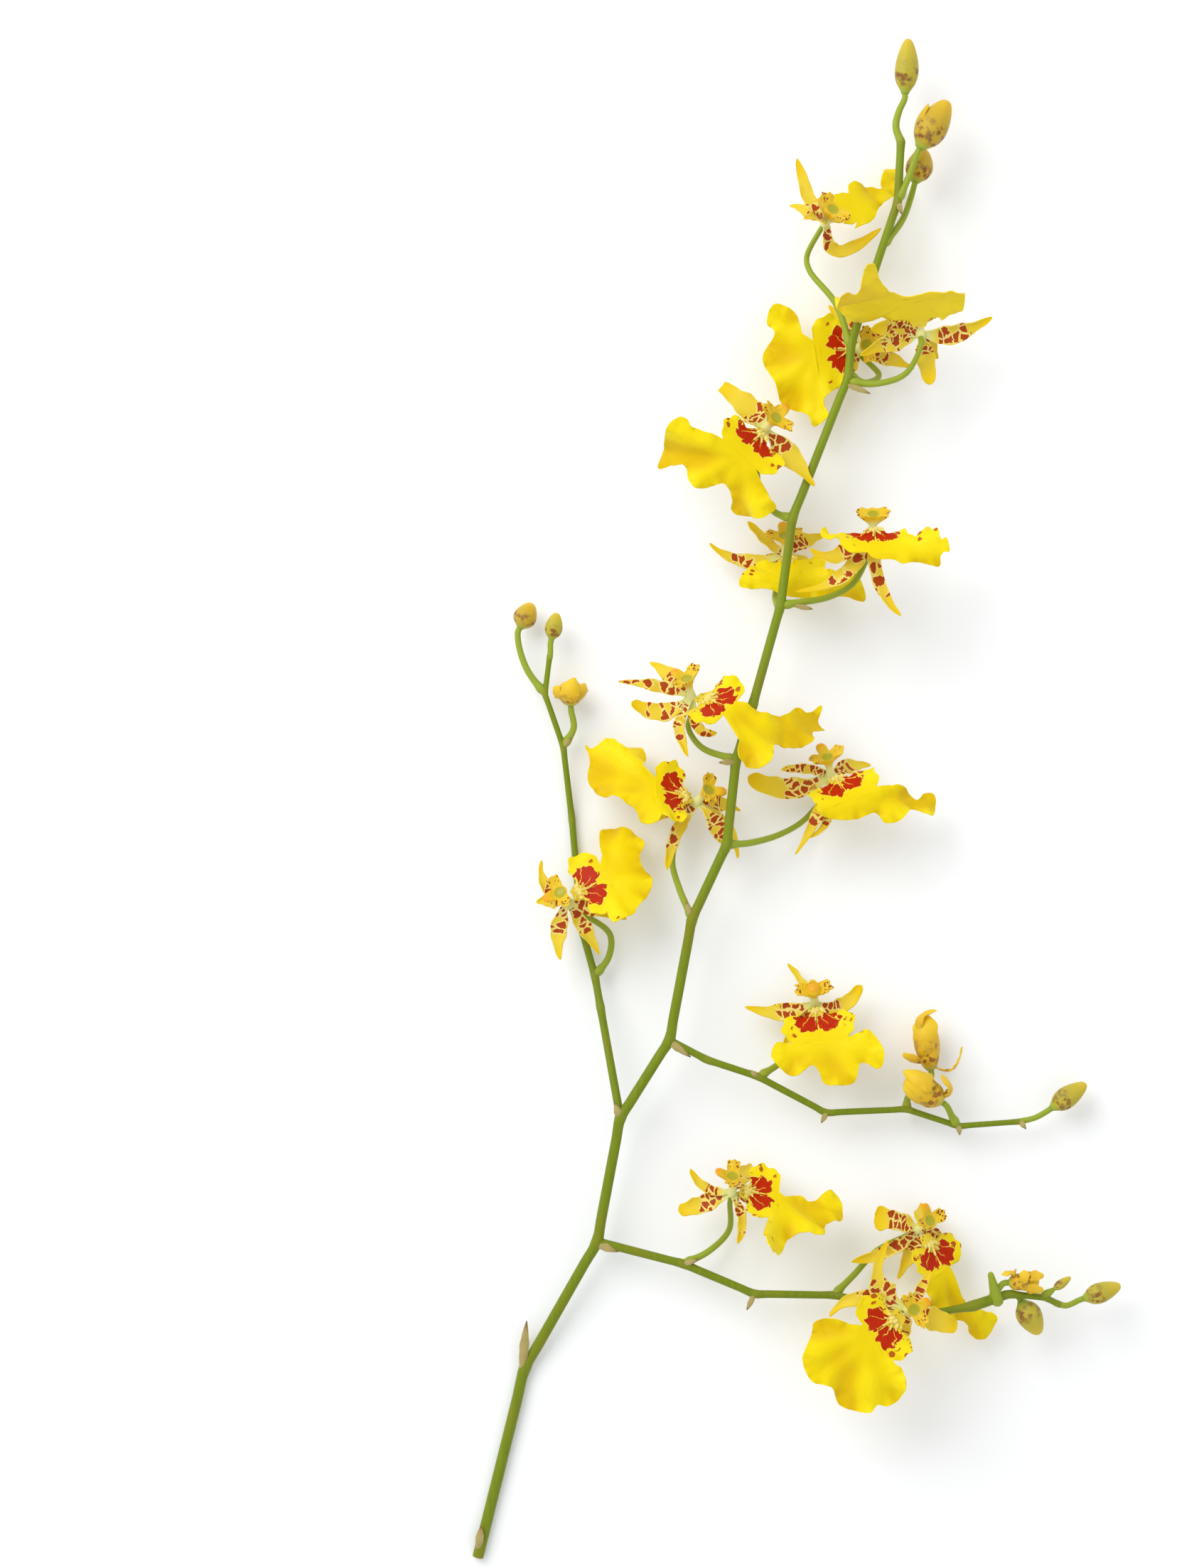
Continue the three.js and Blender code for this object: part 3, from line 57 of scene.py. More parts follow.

# %% [markdown]
# ## Where everything is
# A spray is traced as a gardener would describe it, in millimetres from the cut end of the stem: x to the
# right, y up the spray and z over the table. For each bloom: where its sepals meet, the way its column
# points, the way its lip leaves, how many degrees the lip folds back, how strongly it is waved, and the
# outline of the lip's skirt as seen from above. Its tepals, the sepals and petals, have a tip and a rise,
# from -1 for one that falls to the table to 1 for one that stands up. stalk is the way of its pedicel, from
# the stem on. Numbers listed one by one keep every bloom its own individual, which copies of one bloom would
# never be.
#
# Some blooms say more. mark is where the red patches lie, in mm from the isthmus, the lip's narrow waist.
# lobes is how wide the side lobes are and teeth how high the crest is, as shares of the usual. A tepal can
# pass a via, be lifted by mm, and have a width in mm, a shape, the stretch of its length that is blotched,
# a roll and a twist in degrees, and a tip that hooks aside by mm.

# %% The blooms
BLOOMS = {
    "t4": dict(
        centre=(98, 378), column=(0.35, 0.5, 0.79), lip=(0.72, 0.5, -0.6), bend=0, wave=1.2, lobes=0.5,
        teeth=0.15,
        skirt=[(105, 386.5), (105.5, 390.5), (111, 390), (114.6, 389.2), (114.9, 393), (116.4, 396),
               (120.2, 395.4), (121.2, 391), (118, 387.3), (114, 384), (111.6, 379.4), (106.5, 376.6)],
        tepals=[dict(tip=(91, 396), rise=0.1, via=(93, 386), width=3.8, shape="even", marks=(0.05, 0.3),
                     hook=-1),
                dict(tip=(114, 377.2), rise=-0.6, via=(102, 370.3), width=4.4, shape="even",
                     marks=(0.1, 0.2)),
                dict(tip=(91.5, 377.5), rise=0.7),
                dict(tip=(104, 383), rise=-0.95),
                dict(tip=(88.5, 384), rise=-0.6)],
        stalk=[(105.2, 343.2, 20.4), (101.4, 355.4, 18), (94, 365.5, 14), (93.3, 369.5, 12)]),
    "t5_left": dict(
        centre=(108.3, 344), column=(0.2, 0.05, 0.98), lip=(-0.98, -0.14, 0.18), bend=12, wave=1.8,
        mark=-7.0,
        skirt=[(92, 347.8), (90, 354), (84.2, 356.4), (82, 351), (84.2, 348.2), (80.8, 341),
               (84.5, 333.6), (86.5, 328), (93.6, 324.7), (95.2, 321.6), (98.9, 324.4), (98, 329.4),
               (104.4, 334.9), (101.5, 337.5)],
        tepals=[dict(tip=(124, 338.5), rise=-0.3),
                dict(tip=(119, 354), rise=-0.4),
                dict(tip=(120, 346), rise=0.2),
                dict(tip=(100, 357), rise=-0.7),
                dict(tip=(101, 333), rise=-0.7)],
        stalk=[(104.7, 335.6, 21), (109.5, 333.8, 15), (114, 337, 7)]),
    "t5_right": dict(
        centre=(124.5, 346.5), column=(0, 0.79, -0.61), lip=(-0.15, 0.6, 0.78), bend=0, wave=1.5,
        skirt=[(108, 349.5), (101.4, 353.5), (102, 356.2), (105.8, 355.6), (107.2, 360.5), (108.4, 363.6),
               (110.4, 363), (113, 358.5), (119, 355.8), (127, 357), (135.2, 356.6), (135.5, 352.5),
               (130, 350.5)],
        tepals=[dict(tip=(144.6, 351.2), rise=-0.1, via=(134.6, 346.8), width=6.4, marks=(0.28, 0.62),
                     roll=0, twist=10),
                dict(tip=(127.4, 332.6), rise=-0.2, width=5.6, shape="blunt", marks=(0.05, 0.4), roll=0,
                     twist=10),
                dict(tip=(130, 340.3), rise=-0.5),
                dict(tip=(107.6, 340.4), rise=0.1, width=7, marks=(0.02, 0.62), roll=0, twist=6),
                dict(tip=(110.5, 347.5), rise=0.3, width=6, shape="even", marks=(0.02, 0.6), roll=0,
                     twist=6)],
        stalk=[(104.6, 333.6, 21), (112, 332.8, 22.5), (120.3, 335.4, 24)]),
    "t6": dict(
        centre=(81, 320), column=(0.42, 0.36, 0.83), lip=(-0.52, -0.65, 0.55), bend=62, wave=1.8,
        mark=-6.9,
        skirt=[(65.6, 318), (60.6, 320), (58.8, 322.5), (54.6, 321.6), (52.6, 314), (51.3, 309.4),
               (58.4, 310), (59.6, 306), (63, 303.2), (69.6, 304.4), (72, 300.6), (71.6, 297.4),
               (74.4, 296.2), (84, 297.6), (81.6, 301.6), (80, 304.6)],
        tepals=[dict(tip=(69, 332.2), rise=-0.4, width=8, shape="cut", marks=(0.1, 0.34), twist=10,
                     roll=0),
                dict(tip=(94.8, 304), rise=0, lift=1, width=7, via=(88.6, 311.6), marks=(0.1, 0.36),
                     twist=10, roll=0),
                dict(tip=(70, 308), rise=-0.8),
                dict(tip=(86, 328), rise=-0.95),
                dict(tip=(64, 312), rise=-0.95)],
        stalk=[(88.8, 295, 22.8), (84.2, 296.8, 20), (80, 303, 14)]),
    "m1": dict(
        centre=(87.5, 285.5), column=(-0.05, 0.78, 0.62), lip=(0.08, -0.62, 0.78), bend=52, wave=1.2,
        mark=-7.0,
        skirt=[(79, 284), (76.4, 281.6), (74, 276.4), (82, 275.6), (87, 273.6), (96, 272.8), (104, 273.4),
               (109.6, 272.2), (107.4, 279), (99, 280.6), (95.2, 283.4), (94.6, 286.2)],
        tepals=[dict(tip=(66, 289), rise=-0.2, via=(75, 284), width=4.6, marks=(0.35, 0.66)),
                dict(tip=(76.8, 295.2), rise=0, via=(82, 289.6), width=3.6, shape="even",
                     marks=(0.0, 0.05)),
                dict(tip=(99, 291.4), rise=-0.3),
                dict(tip=(77, 278), rise=-0.5),
                dict(tip=(98, 277), rise=-0.4)],
        stalk=[(85.2, 268.5, 23.5), (84.4, 274, 12), (86.4, 279, 3.4)]),
    "m2": dict(
        centre=(111, 292.2), column=(0, 0.8, 0.6), lip=(0.05, -0.6, 0.8), bend=46, wave=2.2, mark=-7.6,
        skirt=[(104, 292.3), (102, 292.6), (99.8, 291.4), (97.6, 294), (96.3, 292), (96.6, 289),
               (98.3, 288), (101, 288.5), (105.2, 287.5), (108, 286.1), (110.3, 283.3), (113.1, 282.8),
               (116, 282.8), (118.6, 281.5), (122.3, 282.2), (129, 281), (129.3, 284.5), (131.6, 285),
               (130.6, 288.3), (129.2, 287.6), (128.4, 291), (126.3, 293.8), (122.8, 290.5),
               (119, 290.4)],
        tepals=[dict(tip=(93.6, 286.3), rise=-0.2, via=(101.5, 284.2), width=6, marks=(0.1, 0.5)),
                dict(tip=(89.4, 274.4), rise=0, via=(103, 279), width=5, marks=(0.1, 0.62)),
                dict(tip=(118.4, 267.4), rise=0, lift=6, via=(112.4, 277), width=4, shape="even",
                     marks=(0.15, 0.62)),
                dict(tip=(122, 285.4), rise=-0.7, via=(115.6, 287)),
                dict(tip=(104, 290), rise=-0.95, via=(107, 289))],
        stalk=[(85.6, 270.6, 23.2), (90, 271.4, 22.8), (98.8, 273, 21), (105.6, 276.6, 20.4),
               (109, 282, 20.4)]),
    "m3": dict(
        centre=(60.5, 245), column=(-0.15, 0.75, 0.64), lip=(0.8, -0.28, 0.52), bend=32, wave=1.8,
        mark=-3.4,
        skirt=[(75.6, 243.2), (80.6, 240.4), (87, 240), (90.5, 242.4), (93, 240.4), (97.4, 242.8),
               (96.4, 238), (98.2, 235.6), (94.8, 235.4), (94.6, 232.6), (88, 230.5), (83.4, 231.6),
               (82.8, 228), (80, 225.2), (76, 225.4), (73.2, 228.4), (73.6, 232.6)],
        tepals=[dict(tip=(40, 249.3), rise=0, via=(50, 248.2), width=3.8, marks=(0.15, 0.9)),
                dict(tip=(43.8, 243.6), rise=0, via=(52, 240.6), width=6, shape="blunt",
                     marks=(0.15, 0.75)),
                dict(tip=(60.5, 229.4), rise=0, lift=5, width=3.4, via=(57, 236), shape="even",
                     marks=(0.1, 0.7), hook=1.6),
                dict(tip=(67.5, 235), rise=0, lift=1, via=(62.4, 236.4), width=3.2, shape="even",
                     marks=(0.1, 0.8)),
                dict(tip=(49, 255), rise=-0.95)],
        stalk=[(72.8, 227.4, 22), (63.4, 231, 16), (59.8, 236.4, 13.6)]),
    "m4": dict(
        centre=(62.2, 215.5), column=(0.44, 0.54, 0.72), lip=(-0.9, 0.24, 0.37), bend=26, wave=1.8,
        mark=-5.0,
        skirt=[(47, 225.6), (48, 228.5), (46, 230.8), (42, 231), (38, 233.9), (33, 230.8), (30.6, 231.6),
               (32, 227.4), (31.4, 222), (33.6, 218), (41, 216.5), (44.6, 213.4), (46.6, 210),
               (50, 209.6), (52.6, 213.4)],
        tepals=[dict(tip=(50, 209.8), rise=-0.4, width=4.4, marks=(0.1, 0.8)),
                dict(tip=(53.8, 196.5), rise=0, lift=5, width=3.8, via=(56.2, 206), shape="even",
                     marks=(0.1, 0.7)),
                dict(tip=(70, 204), rise=0.2, width=6, shape="spoon", marks=(0.4, 0.9)),
                dict(tip=(73.8, 199.6), rise=-0.5, via=(71, 208), width=4, marks=(0.1, 0.3)),
                dict(tip=(74.8, 213), rise=-0.6)],
        stalk=[(60.8, 182.8, 19), (57.2, 191.2, 12), (55.4, 199, 7), (57.6, 207.6, 4.4)]),
    "m5": dict(
        centre=(100, 223), column=(-0.14, 0.76, 0.64), lip=(0.42, -0.52, 0.74), bend=46, wave=1.8,
        mark=-5.8,
        skirt=[(97.6, 217.2), (95.6, 213.6), (101, 210.6), (107, 210.8), (112.4, 212.6), (114.6, 209.7),
               (119, 210.4), (122.6, 213.6), (128.8, 211.8), (129.3, 217.6), (126.6, 218), (124, 216),
               (120.6, 219.8), (116, 220.6)],
        tepals=[dict(tip=(76.8, 222.8), rise=0, width=7.4, via=(88, 219), shape="blunt",
                     marks=(0.16, 0.6), roll=0, twist=4),
                dict(tip=(86, 224.6), rise=0, width=3, shape="even", marks=(0.1, 0.8)),
                dict(tip=(89.8, 200.8), rise=0, lift=5, width=4, via=(96, 211.4), marks=(0.5, 0.56)),
                dict(tip=(93.4, 205.6), rise=0, lift=4, width=3, via=(99, 210.6), marks=(0.5, 0.56)),
                dict(tip=(112, 226), rise=-0.8)],
        stalk=[(70.4, 203.6, 21), (77, 204, 17), (86, 206.4, 10), (93, 210.4, 4.5), (98, 216, 2.4)]),
    "b1": dict(
        centre=(95.8, 158.4), column=(-0.08, 0.55, 0.83), lip=(0.1, -0.82, 0.56), bend=14, wave=1.8,
        mark=-6.3,
        skirt=[(90.4, 147.6), (84.5, 147.4), (83, 144.4), (84.4, 141.8), (90, 138.4), (94.6, 141.6),
               (96.4, 139.8), (98, 136.4), (106.4, 136.8), (108.4, 142.4), (113.3, 140.3), (114.8, 143.4),
               (114, 147.4), (110.6, 151.2), (105, 149.6)],
        tepals=[dict(tip=(76, 157.4), rise=0, via=(86, 155.8), width=5.4, marks=(0.16, 0.5), roll=0,
                     twist=8),
                dict(tip=(108.8, 163.6), rise=0.3, via=(103.2, 157.6), width=5, shape="blunt",
                     marks=(0.08, 0.45), roll=0, twist=8),
                dict(tip=(88.4, 169.4), rise=-0.4, width=2.3, shape="even", marks=(0.0, 0.02)),
                dict(tip=(87, 145.6), rise=-0.5),
                dict(tip=(104.6, 142), rise=-0.6)],
        stalk=[(79.8, 138, 13.5), (86, 141.6, 9), (93, 148, 3.5)]),
    "b2_first": dict(
        centre=(72, 105.4), column=(0.1, 0.75, 0.65), lip=(0.97, -0.1, 0.02), bend=4, wave=1.6, mark=-5.0,
        skirt=[(87, 104.2), (91, 104.4), (94, 102.4), (101, 105.4), (103.3, 98), (98.4, 96.6),
               (97.5, 94.2), (94, 95.2), (88.2, 93.8), (85.5, 90.3), (82.5, 92), (80.4, 95.4)],
        tepals=[dict(tip=(60.3, 112), rise=0, via=(64.6, 106.8), width=3, shape="even",
                     marks=(0.06, 0.42)),
                dict(tip=(57, 100.3), rise=0, width=5.8, via=(64, 102), shape="blunt", marks=(0.18, 0.6),
                     roll=0, twist=8),
                dict(tip=(73.6, 91.2), rise=0.2, via=(74.8, 98), width=3, shape="even", marks=(0.1, 0.7)),
                dict(tip=(86, 96.5), rise=-0.9),
                dict(tip=(78, 112), rise=-0.95)],
        stalk=[(58.4, 84.6, 9), (65.6, 88, 8), (71.4, 93.6, 6)]),
    "b2_second": dict(
        centre=(125, 94.6), column=(0.48, 0.38, 0.79), lip=(0.46, -0.88, 0.1), bend=12, wave=1.5,
        mark=-3.9, lobes=0.86,
        skirt=[(126.4, 80), (127.4, 76), (128.6, 71.6), (130.6, 67.4), (132.6, 67.2), (134, 69.3),
               (137.6, 68.4), (139.6, 65.4), (142, 62.5), (145, 63.4), (147.3, 69.4), (144, 71),
               (140, 72.2), (137, 75.6)],
        tepals=[dict(tip=(112.4, 98.2), rise=0.2, width=7.2, shape="tail", marks=(0.14, 0.7), roll=0,
                     twist=6),
                dict(tip=(106, 85.4), rise=0, via=(116.4, 88.6), width=4, shape="even",
                     marks=(0.1, 0.55)),
                dict(tip=(126.5, 101), rise=-0.6),
                dict(tip=(119.4, 80), rise=-0.5),
                dict(tip=(134.6, 87.4), rise=-0.65)],
        stalk=[(101, 76, 11.5), (107, 81.6, 8.5), (113.6, 88, 5.5)]),
    "b2_third": dict(
        centre=(121, 73.8), column=(0.12, 0.05, 0.99), lip=(-0.83, -0.55, 0.12), bend=8, wave=1.3,
        mark=-3.9,
        skirt=[(104.4, 70), (100, 71.5), (94.6, 70.2), (94, 67), (91.4, 60.4), (94, 53.8), (98.4, 52.6),
               (99.8, 51.8), (102, 46.7), (110.5, 45.3), (112.3, 47.3), (114.6, 46.7), (118.2, 48.3),
               (119.9, 52), (119, 57.4), (117.2, 58.8)],
        tepals=[dict(tip=(115.4, 93.2), rise=0, width=8.2, via=(112.6, 81.4), shape="spear",
                     marks=(0.18, 0.5), roll=0, twist=0),
                dict(tip=(134.6, 68.6), rise=0, width=6.6, shape="blunt", marks=(0.0, 0.3), roll=0,
                     twist=6),
                dict(tip=(99, 71.8), rise=-0.6, via=(107, 76.6)),
                dict(tip=(127.2, 84.6), rise=-0.1, width=3.2, shape="even", marks=(0.2, 0.75)),
                dict(tip=(117, 60), rise=-0.7)],
        stalk=[(106, 75.8, 12), (113, 74.6, 12.4)]),
    "b3": dict(
        centre=(25.5, 187.6), column=(-0.22, 0.42, 0.88), lip=(0.85, 0.5, 0.03), bend=10, wave=1.3,
        mark=-5.0,
        skirt=[(35.4, 200.5), (34.7, 204), (35.2, 207.2), (39.6, 208.1), (42.6, 207.9), (45.3, 205.9),
               (47.6, 203.5), (46.1, 201), (46.9, 196.9), (49.3, 194.5), (49.6, 192.3), (48.3, 189.5),
               (45.9, 186.5), (40.6, 182.9), (37.9, 183.2), (36.8, 186.5), (37.6, 189)],
        tepals=[dict(tip=(16.9, 187.2), rise=0),
                dict(tip=(18.3, 199), rise=-0.2, width=3.6, via=(19.4, 192)),
                dict(tip=(23.6, 171), rise=0, via=(23.2, 178.6)),
                dict(tip=(34.6, 172.5), rise=0, width=4.6, via=(31, 179)),
                dict(tip=(42.3, 182.4), rise=-0.3)],
        stalk=[(33.4, 166, 5), (37.4, 171.6, 5), (37.6, 178, 5)]),
}
print("blooms:", len(BLOOMS), "with", sum(len(bloom["tepals"]) for bloom in BLOOMS.values()), "tepals")

# %% [markdown]
# A bud goes from its foot to its head, and petals are the ones that have come loose: each passes a place on
# its way to its tip and has a width. Its colour says how ripe it is. One bud is so small that it is as
# green as the stem.

# %% The buds
BUDS = {
    "bud_top_first": dict(
        foot=(120.8, 414.8, 16), head=(121.8, 430.9, 15), width=6.8, colour="green",
        stalk=[(119.6, 401.4, 17), (118.2, 405.8, 16.6), (119.2, 410.4, 16.4)]),
    "bud_top_second": dict(
        foot=(124.7, 399.2, 18), head=(132.8, 413, 17.5), width=9.2, colour="orange",
        petals=[((124, 405.6, 19), (127.2, 411.8, 18.4), 5.6)],
        stalk=[(118.7, 384.6, 18), (121.8, 391.6, 18.2)]),
    "bud_top_third": dict(
        foot=(123.9, 390.6, 12), head=(126.6, 400.4, 10.5), width=7.8, colour="orange",
        stalk=[(114.4, 371.8, 18.8), (120.2, 379.8, 15), (122.6, 386, 13)]),
    "bud_first_branch": dict(
        foot=(162.8, 128.4, 7), head=(173, 135.5, 6.5), width=6.2, colour="green",
        stalk=[(154, 124.8, 7.5), (158.4, 125.9, 7.4)]),
    "opening_first_branch_upper": dict(
        foot=(128.8, 139, 7.5), head=(126.6, 153.6, 7), width=7.6, colour="orange",
        petals=[((126.6, 147.4, 12), (127.6, 155, 9.5), 8.6),
                ((125, 152.6, 11.4), (130.2, 156.4, 9), 2.4),
                ((134.6, 139.6, 8.6), (137.4, 146.2, 9.4), 2),
                ((124.4, 142, 9.4), (120.8, 143.6, 8), 5)],
        stalk=[(121.8, 128.4, 9), (122.6, 131.6, 4.5), (126, 135, 3.4)]),
    "opening_first_branch_lower": dict(
        foot=(131.8, 130.4, 12.5), head=(121.2, 137.6, 13), width=8.4, colour="orange",
        petals=[((134, 134.2, 13.5), (131, 138.4, 15), 4.6),
                ((125.4, 131.4, 15), (120.6, 134.6, 14), 6.4),
                ((127.6, 136.4, 17), (120.6, 139.6, 14.6), 6.2)],
        stalk=[(136.4, 123.6, 8.5), (134.8, 126, 9.6)]),
    "opening_second_branch": dict(
        foot=(149.6, 80.2, 17.5), head=(158.6, 80.8, 17), width=5.2, colour="orange",
        petals=[((151, 83.2, 18.5), (147.8, 82.6, 19), 3.2),
                ((153.4, 81.6, 20.2), (154, 83.8, 19.2), 3.4),
                ((155.4, 78.8, 19.6), (159.4, 78.2, 19), 3.4),
                ((156, 82.4, 19.4), (159.6, 82.4, 18.4), 3.4)],
        stalk=[(144.6, 75.5, 18), (146.8, 78.4, 18)]),
    "bud_second_branch_down": dict(
        foot=(153.6, 74.8, 13.2), head=(159.2, 65, 12), width=7.2, colour="green",
        stalk=[(150, 77, 17), (151.4, 76.6, 15)]),
    "bud_second_branch_side": dict(
        foot=(162.6, 78, 15.5), head=(167.6, 81.6, 15.5), width=2.6, colour="stem",
        stalk=[(159.2, 75.9, 15.6), (161, 77, 15.5)]),
    "bud_second_branch_tip": dict(
        foot=(171.2, 75.2, 13.5), head=(182, 79, 13), width=5.8, colour="green",
        stalk=[(163.4, 74.2, 14.9), (166.4, 73.4, 14.4)]),
    "opening_third_branch": dict(
        foot=(26.6, 242.6, 6.5), head=(26.4, 250, 6.5), width=7.4, colour="orange",
        petals=[((29.6, 245.6, 8.6), (30.6, 249, 8), 5),
                ((23.4, 245.4, 8.6), (21.8, 248, 8), 5),
                ((26.2, 245.4, 11), (27.6, 250.6, 10), 6.2)],
        stalk=[(24.4, 231.2, 5), (27.4, 236.6, 6)]),
    "bud_third_branch_end": dict(
        foot=(21, 261.4, 8), head=(22.6, 269.2, 8), width=5, colour="green",
        stalk=[(20.6, 256.4, 8), (20.8, 258.6, 8)]),
    "bud_third_branch_tip": dict(
        foot=(12, 264.8, 6), head=(15.6, 272, 5.5), width=6.6, colour="orange",
        stalk=[(19.2, 246.2, 7), (14.4, 252.6, 6.6), (12, 259, 6.2)]),
}
print("buds:", len(BUDS), "of which open now:", sum(name.startswith("opening") for name in BUDS))

# %% [markdown]
# The stem and its branches run from node to node, and each has a radius at its start and at its end. A
# young branch is stout where it bore its last flower, of which a stub is left. A bract has a foot, a tip
# and a width.

# %% The stem and its bracts
AXES = [
    dict(
        route=[(0, 0, 1.45), (13.4, 54, 1.9), (34, 90.8, 8), (40.6, 126.2, 12.5), (54.4, 148.4, 15.5),
               (60.8, 182.8, 19), (70.4, 203.6, 21), (73, 227.2, 22), (77.6, 242.6, 22.8),
               (85.4, 270.6, 23.2), (88.8, 295, 22.8), (104.6, 335.2, 21), (105.4, 344.2, 20.4),
               (111.2, 362.4, 19.4), (118.6, 384.4, 18), (119.6, 401.4, 17)],
        radius=(1.6, 1.12)),
    dict(
        route=[(54.4, 148.4, 15.5), (65, 142.8, 14.8), (79.4, 138, 13.5), (98.8, 127.6, 11),
               (121.8, 128.4, 9), (136.4, 123.6, 8.5), (154, 124.8, 7.5)],
        radius=(1.05, 0.8)),
    dict(
        route=[(34, 90.8, 8), (58.4, 84.6, 9), (78.6, 76.2, 10), (101, 76, 11.5), (120, 72.6, 15.6),
               (130, 72.2, 20), (139.6, 73.8, 19), (150, 77, 17), (160.4, 75.8, 15.5),
               (164.4, 73.8, 14.8)],
        radius=(1.25, 0.85), stout=(143, 75, 18.2)),
    dict(
        route=[(40.6, 126.2, 12.5), (35, 157.2, 7), (33.4, 166, 5), (29.6, 179.4, 1.6), (26.8, 211, 1.6),
               (24.4, 231.2, 5), (19.2, 246.2, 7), (20.6, 257, 8)],
        radius=(1.2, 0.75)),
]
STUB = dict(foot=(146.6, 75.4, 18), tip=(144.6, 82.8, 20.4), radius=(1.9, 0.85))
BRACTS = [
    ((0.2, 2.4, 2.4), (1, 9.4, 4), 3.4),
    ((12.6, 53.4, 2.6), (14, 68, 5.4), 3.6),
    ((33.6, 90.4, 8.6), (40, 88, 8.6), 3),
    ((40.6, 125.8, 13), (39, 130.6, 13.6), 2.8),
    ((53.8, 148.4, 16), (60.4, 143.6, 15.4), 2.8),
    ((58.2, 84.4, 9.6), (62.6, 86, 10), 2.2),
    ((78.6, 76.4, 10.4), (76.4, 71.8, 11), 2.2),
    ((79.4, 138, 14), (77.2, 139.8, 14.4), 2),
    ((99, 127.8, 11.4), (97.4, 124.8, 12), 2),
    ((136.4, 124, 9), (136.8, 121.2, 9.4), 2),
    ((154, 125, 8), (155.6, 122.8, 8.4), 2),
    ((60.8, 182.8, 19.4), (59, 187.4, 18.6), 2.2),
    ((73.2, 226.8, 22.6), (68.2, 226.6, 23), 2.4),
    ((89.4, 270.6, 23.4), (94.4, 269.6, 23), 2),
    ((104.2, 332.6, 21.8), (110.6, 330, 22.6), 2.2),
    ((118.6, 384.4, 18.4), (119.6, 380.8, 19.4), 2),
    ((24.4, 231.4, 5.4), (26.6, 233.6, 6.4), 2)]
print("stem and branches:", len(AXES), "with", sum(len(axis["route"]) for axis in AXES), "nodes")

# %% [markdown]
# ## Tools for colours and materials
# Colours are chosen as sRGB hex, as on a paint card, and a shader wants them linear, so one function turns
# them. A second one adds any node, with its settings and its links, in one line. It takes the node's name
# from a list of plain words, such as "times", "ramp" or "mix", so that a material reads from top to bottom
# like a recipe.

# %% Colours and nodes
NODES = {  # a plain word for each node that the skins need: its kind and its settings
    "plus": ("Math", dict(operation="ADD")),
    "minus": ("Math", dict(operation="SUBTRACT")),
    "times": ("Math", dict(operation="MULTIPLY")),
    "over": ("Math", dict(operation="DIVIDE")),
    "larger": ("Math", dict(operation="MAXIMUM")),
    "size": ("Math", dict(operation="ABSOLUTE")),
    "root": ("Math", dict(operation="SQRT")),
    "sine": ("Math", dict(operation="SINE")),
    "angle": ("Math", dict(operation="ARCTAN2")),
    # a ramp is 0 up to its first number and 1 from its second, or the other way round if the first is larger
    "ramp": ("MapRange", dict(interpolation_type="SMOOTHSTEP")),
    # a mix is its first colour where its share is 0, and its second where it is 1
    "mix": ("Mix", dict(data_type="RGBA")),
    "noise": ("TexNoise", {}),  # takes a place, its scale, its detail and its roughness
    "cells": ("TexVoronoi", {}),
    "bump": ("Bump", {}),
    "shift": ("VectorMath", dict(operation="SUBTRACT")),
    "scale": ("VectorMath", dict(operation="SCALE")),
    "length": ("VectorMath", dict(operation="LENGTH")),
    "stretch": ("Mapping", {}),
    "split": ("SeparateXYZ", {}),
    "join": ("CombineXYZ", {}),
    "place": ("TexCoord", {}),
    "map": ("UVMap", {}),
    "number": ("Attribute", {})}


def paint(code):
    """An sRGB hex colour as the linear RGBA that a shader takes."""
    parts = [int(code[i:i + 2], 16) / 255 for i in (1, 3, 5)]
    return (*[c / 12.92 if c <= 0.04045 else ((c + 0.055) / 1.055) ** 2.4 for c in parts], 1.0)


def add_node(tree, word, *inputs, out=None, **more):
    """Adds the node that a word of the list names, and gives its first output, or those that out names.
    inputs go to its open sockets in order: an output, a number, a colour or a place. more are further
    settings, or, where they start with a capital, further sockets."""
    kind, sets = NODES[word]
    made = tree.nodes.new("ShaderNode" + kind)
    for key, value in {**sets, **more}.items():
        if key[0].islower():
            setattr(made, key, value)
    links = list(zip([socket for socket in made.inputs if socket.enabled], inputs))
    links += [(made.inputs[key], value) for key, value in more.items() if key[0].isupper()]
    for socket, value in links:
        if isinstance(value, bpy.types.NodeSocket):
            tree.links.new(value, socket)
        else:
            socket.default_value = value
    if isinstance(out, tuple):
        return [made.outputs[name] for name in out]
    return made.outputs[out] if out else next(socket for socket in made.outputs if socket.enabled)


def new_material(name, **fixed):
    """A new material, the function that adds a node to it, and its shader. The fixed values are set directly
    on the shader's own sockets."""
    material = bpy.data.materials.new(name)
    material.use_nodes = True
    shader = material.node_tree.nodes["Principled BSDF"]
    for key, value in fixed.items():
        shader.inputs[key.replace("_", " ")].default_value = value
    return material, functools.partial(add_node, material.node_tree), shader


def finish_material(shader, colour, roughness=None, height=None, distance=0.1, strength=0.6):
    """Links colour, roughness and bump to the shader. distance is the bump's height in mm."""
    tree = shader.id_data
    tree.links.new(colour, shader.inputs["Base Color"])
    if roughness is not None:
        tree.links.new(roughness, shader.inputs["Roughness"])
    if height is not None:
        bump = add_node(tree, "bump", Strength=strength, Distance=distance * MM, Height=height)
        tree.links.new(bump, shader.inputs["Normal"])
    print("material with", len(tree.nodes), "nodes")


print("white paint is", paint("#ffffff"))

# %% [markdown]
# ## The table, the light and the camera
# The spray lies flat and is looked at from straight above, from far enough away that nothing is
# foreshortened. A long lens does that. A pale floor and one large soft light from the upper left, with a
# bright sky all round, leave only faint shadows under the blooms.

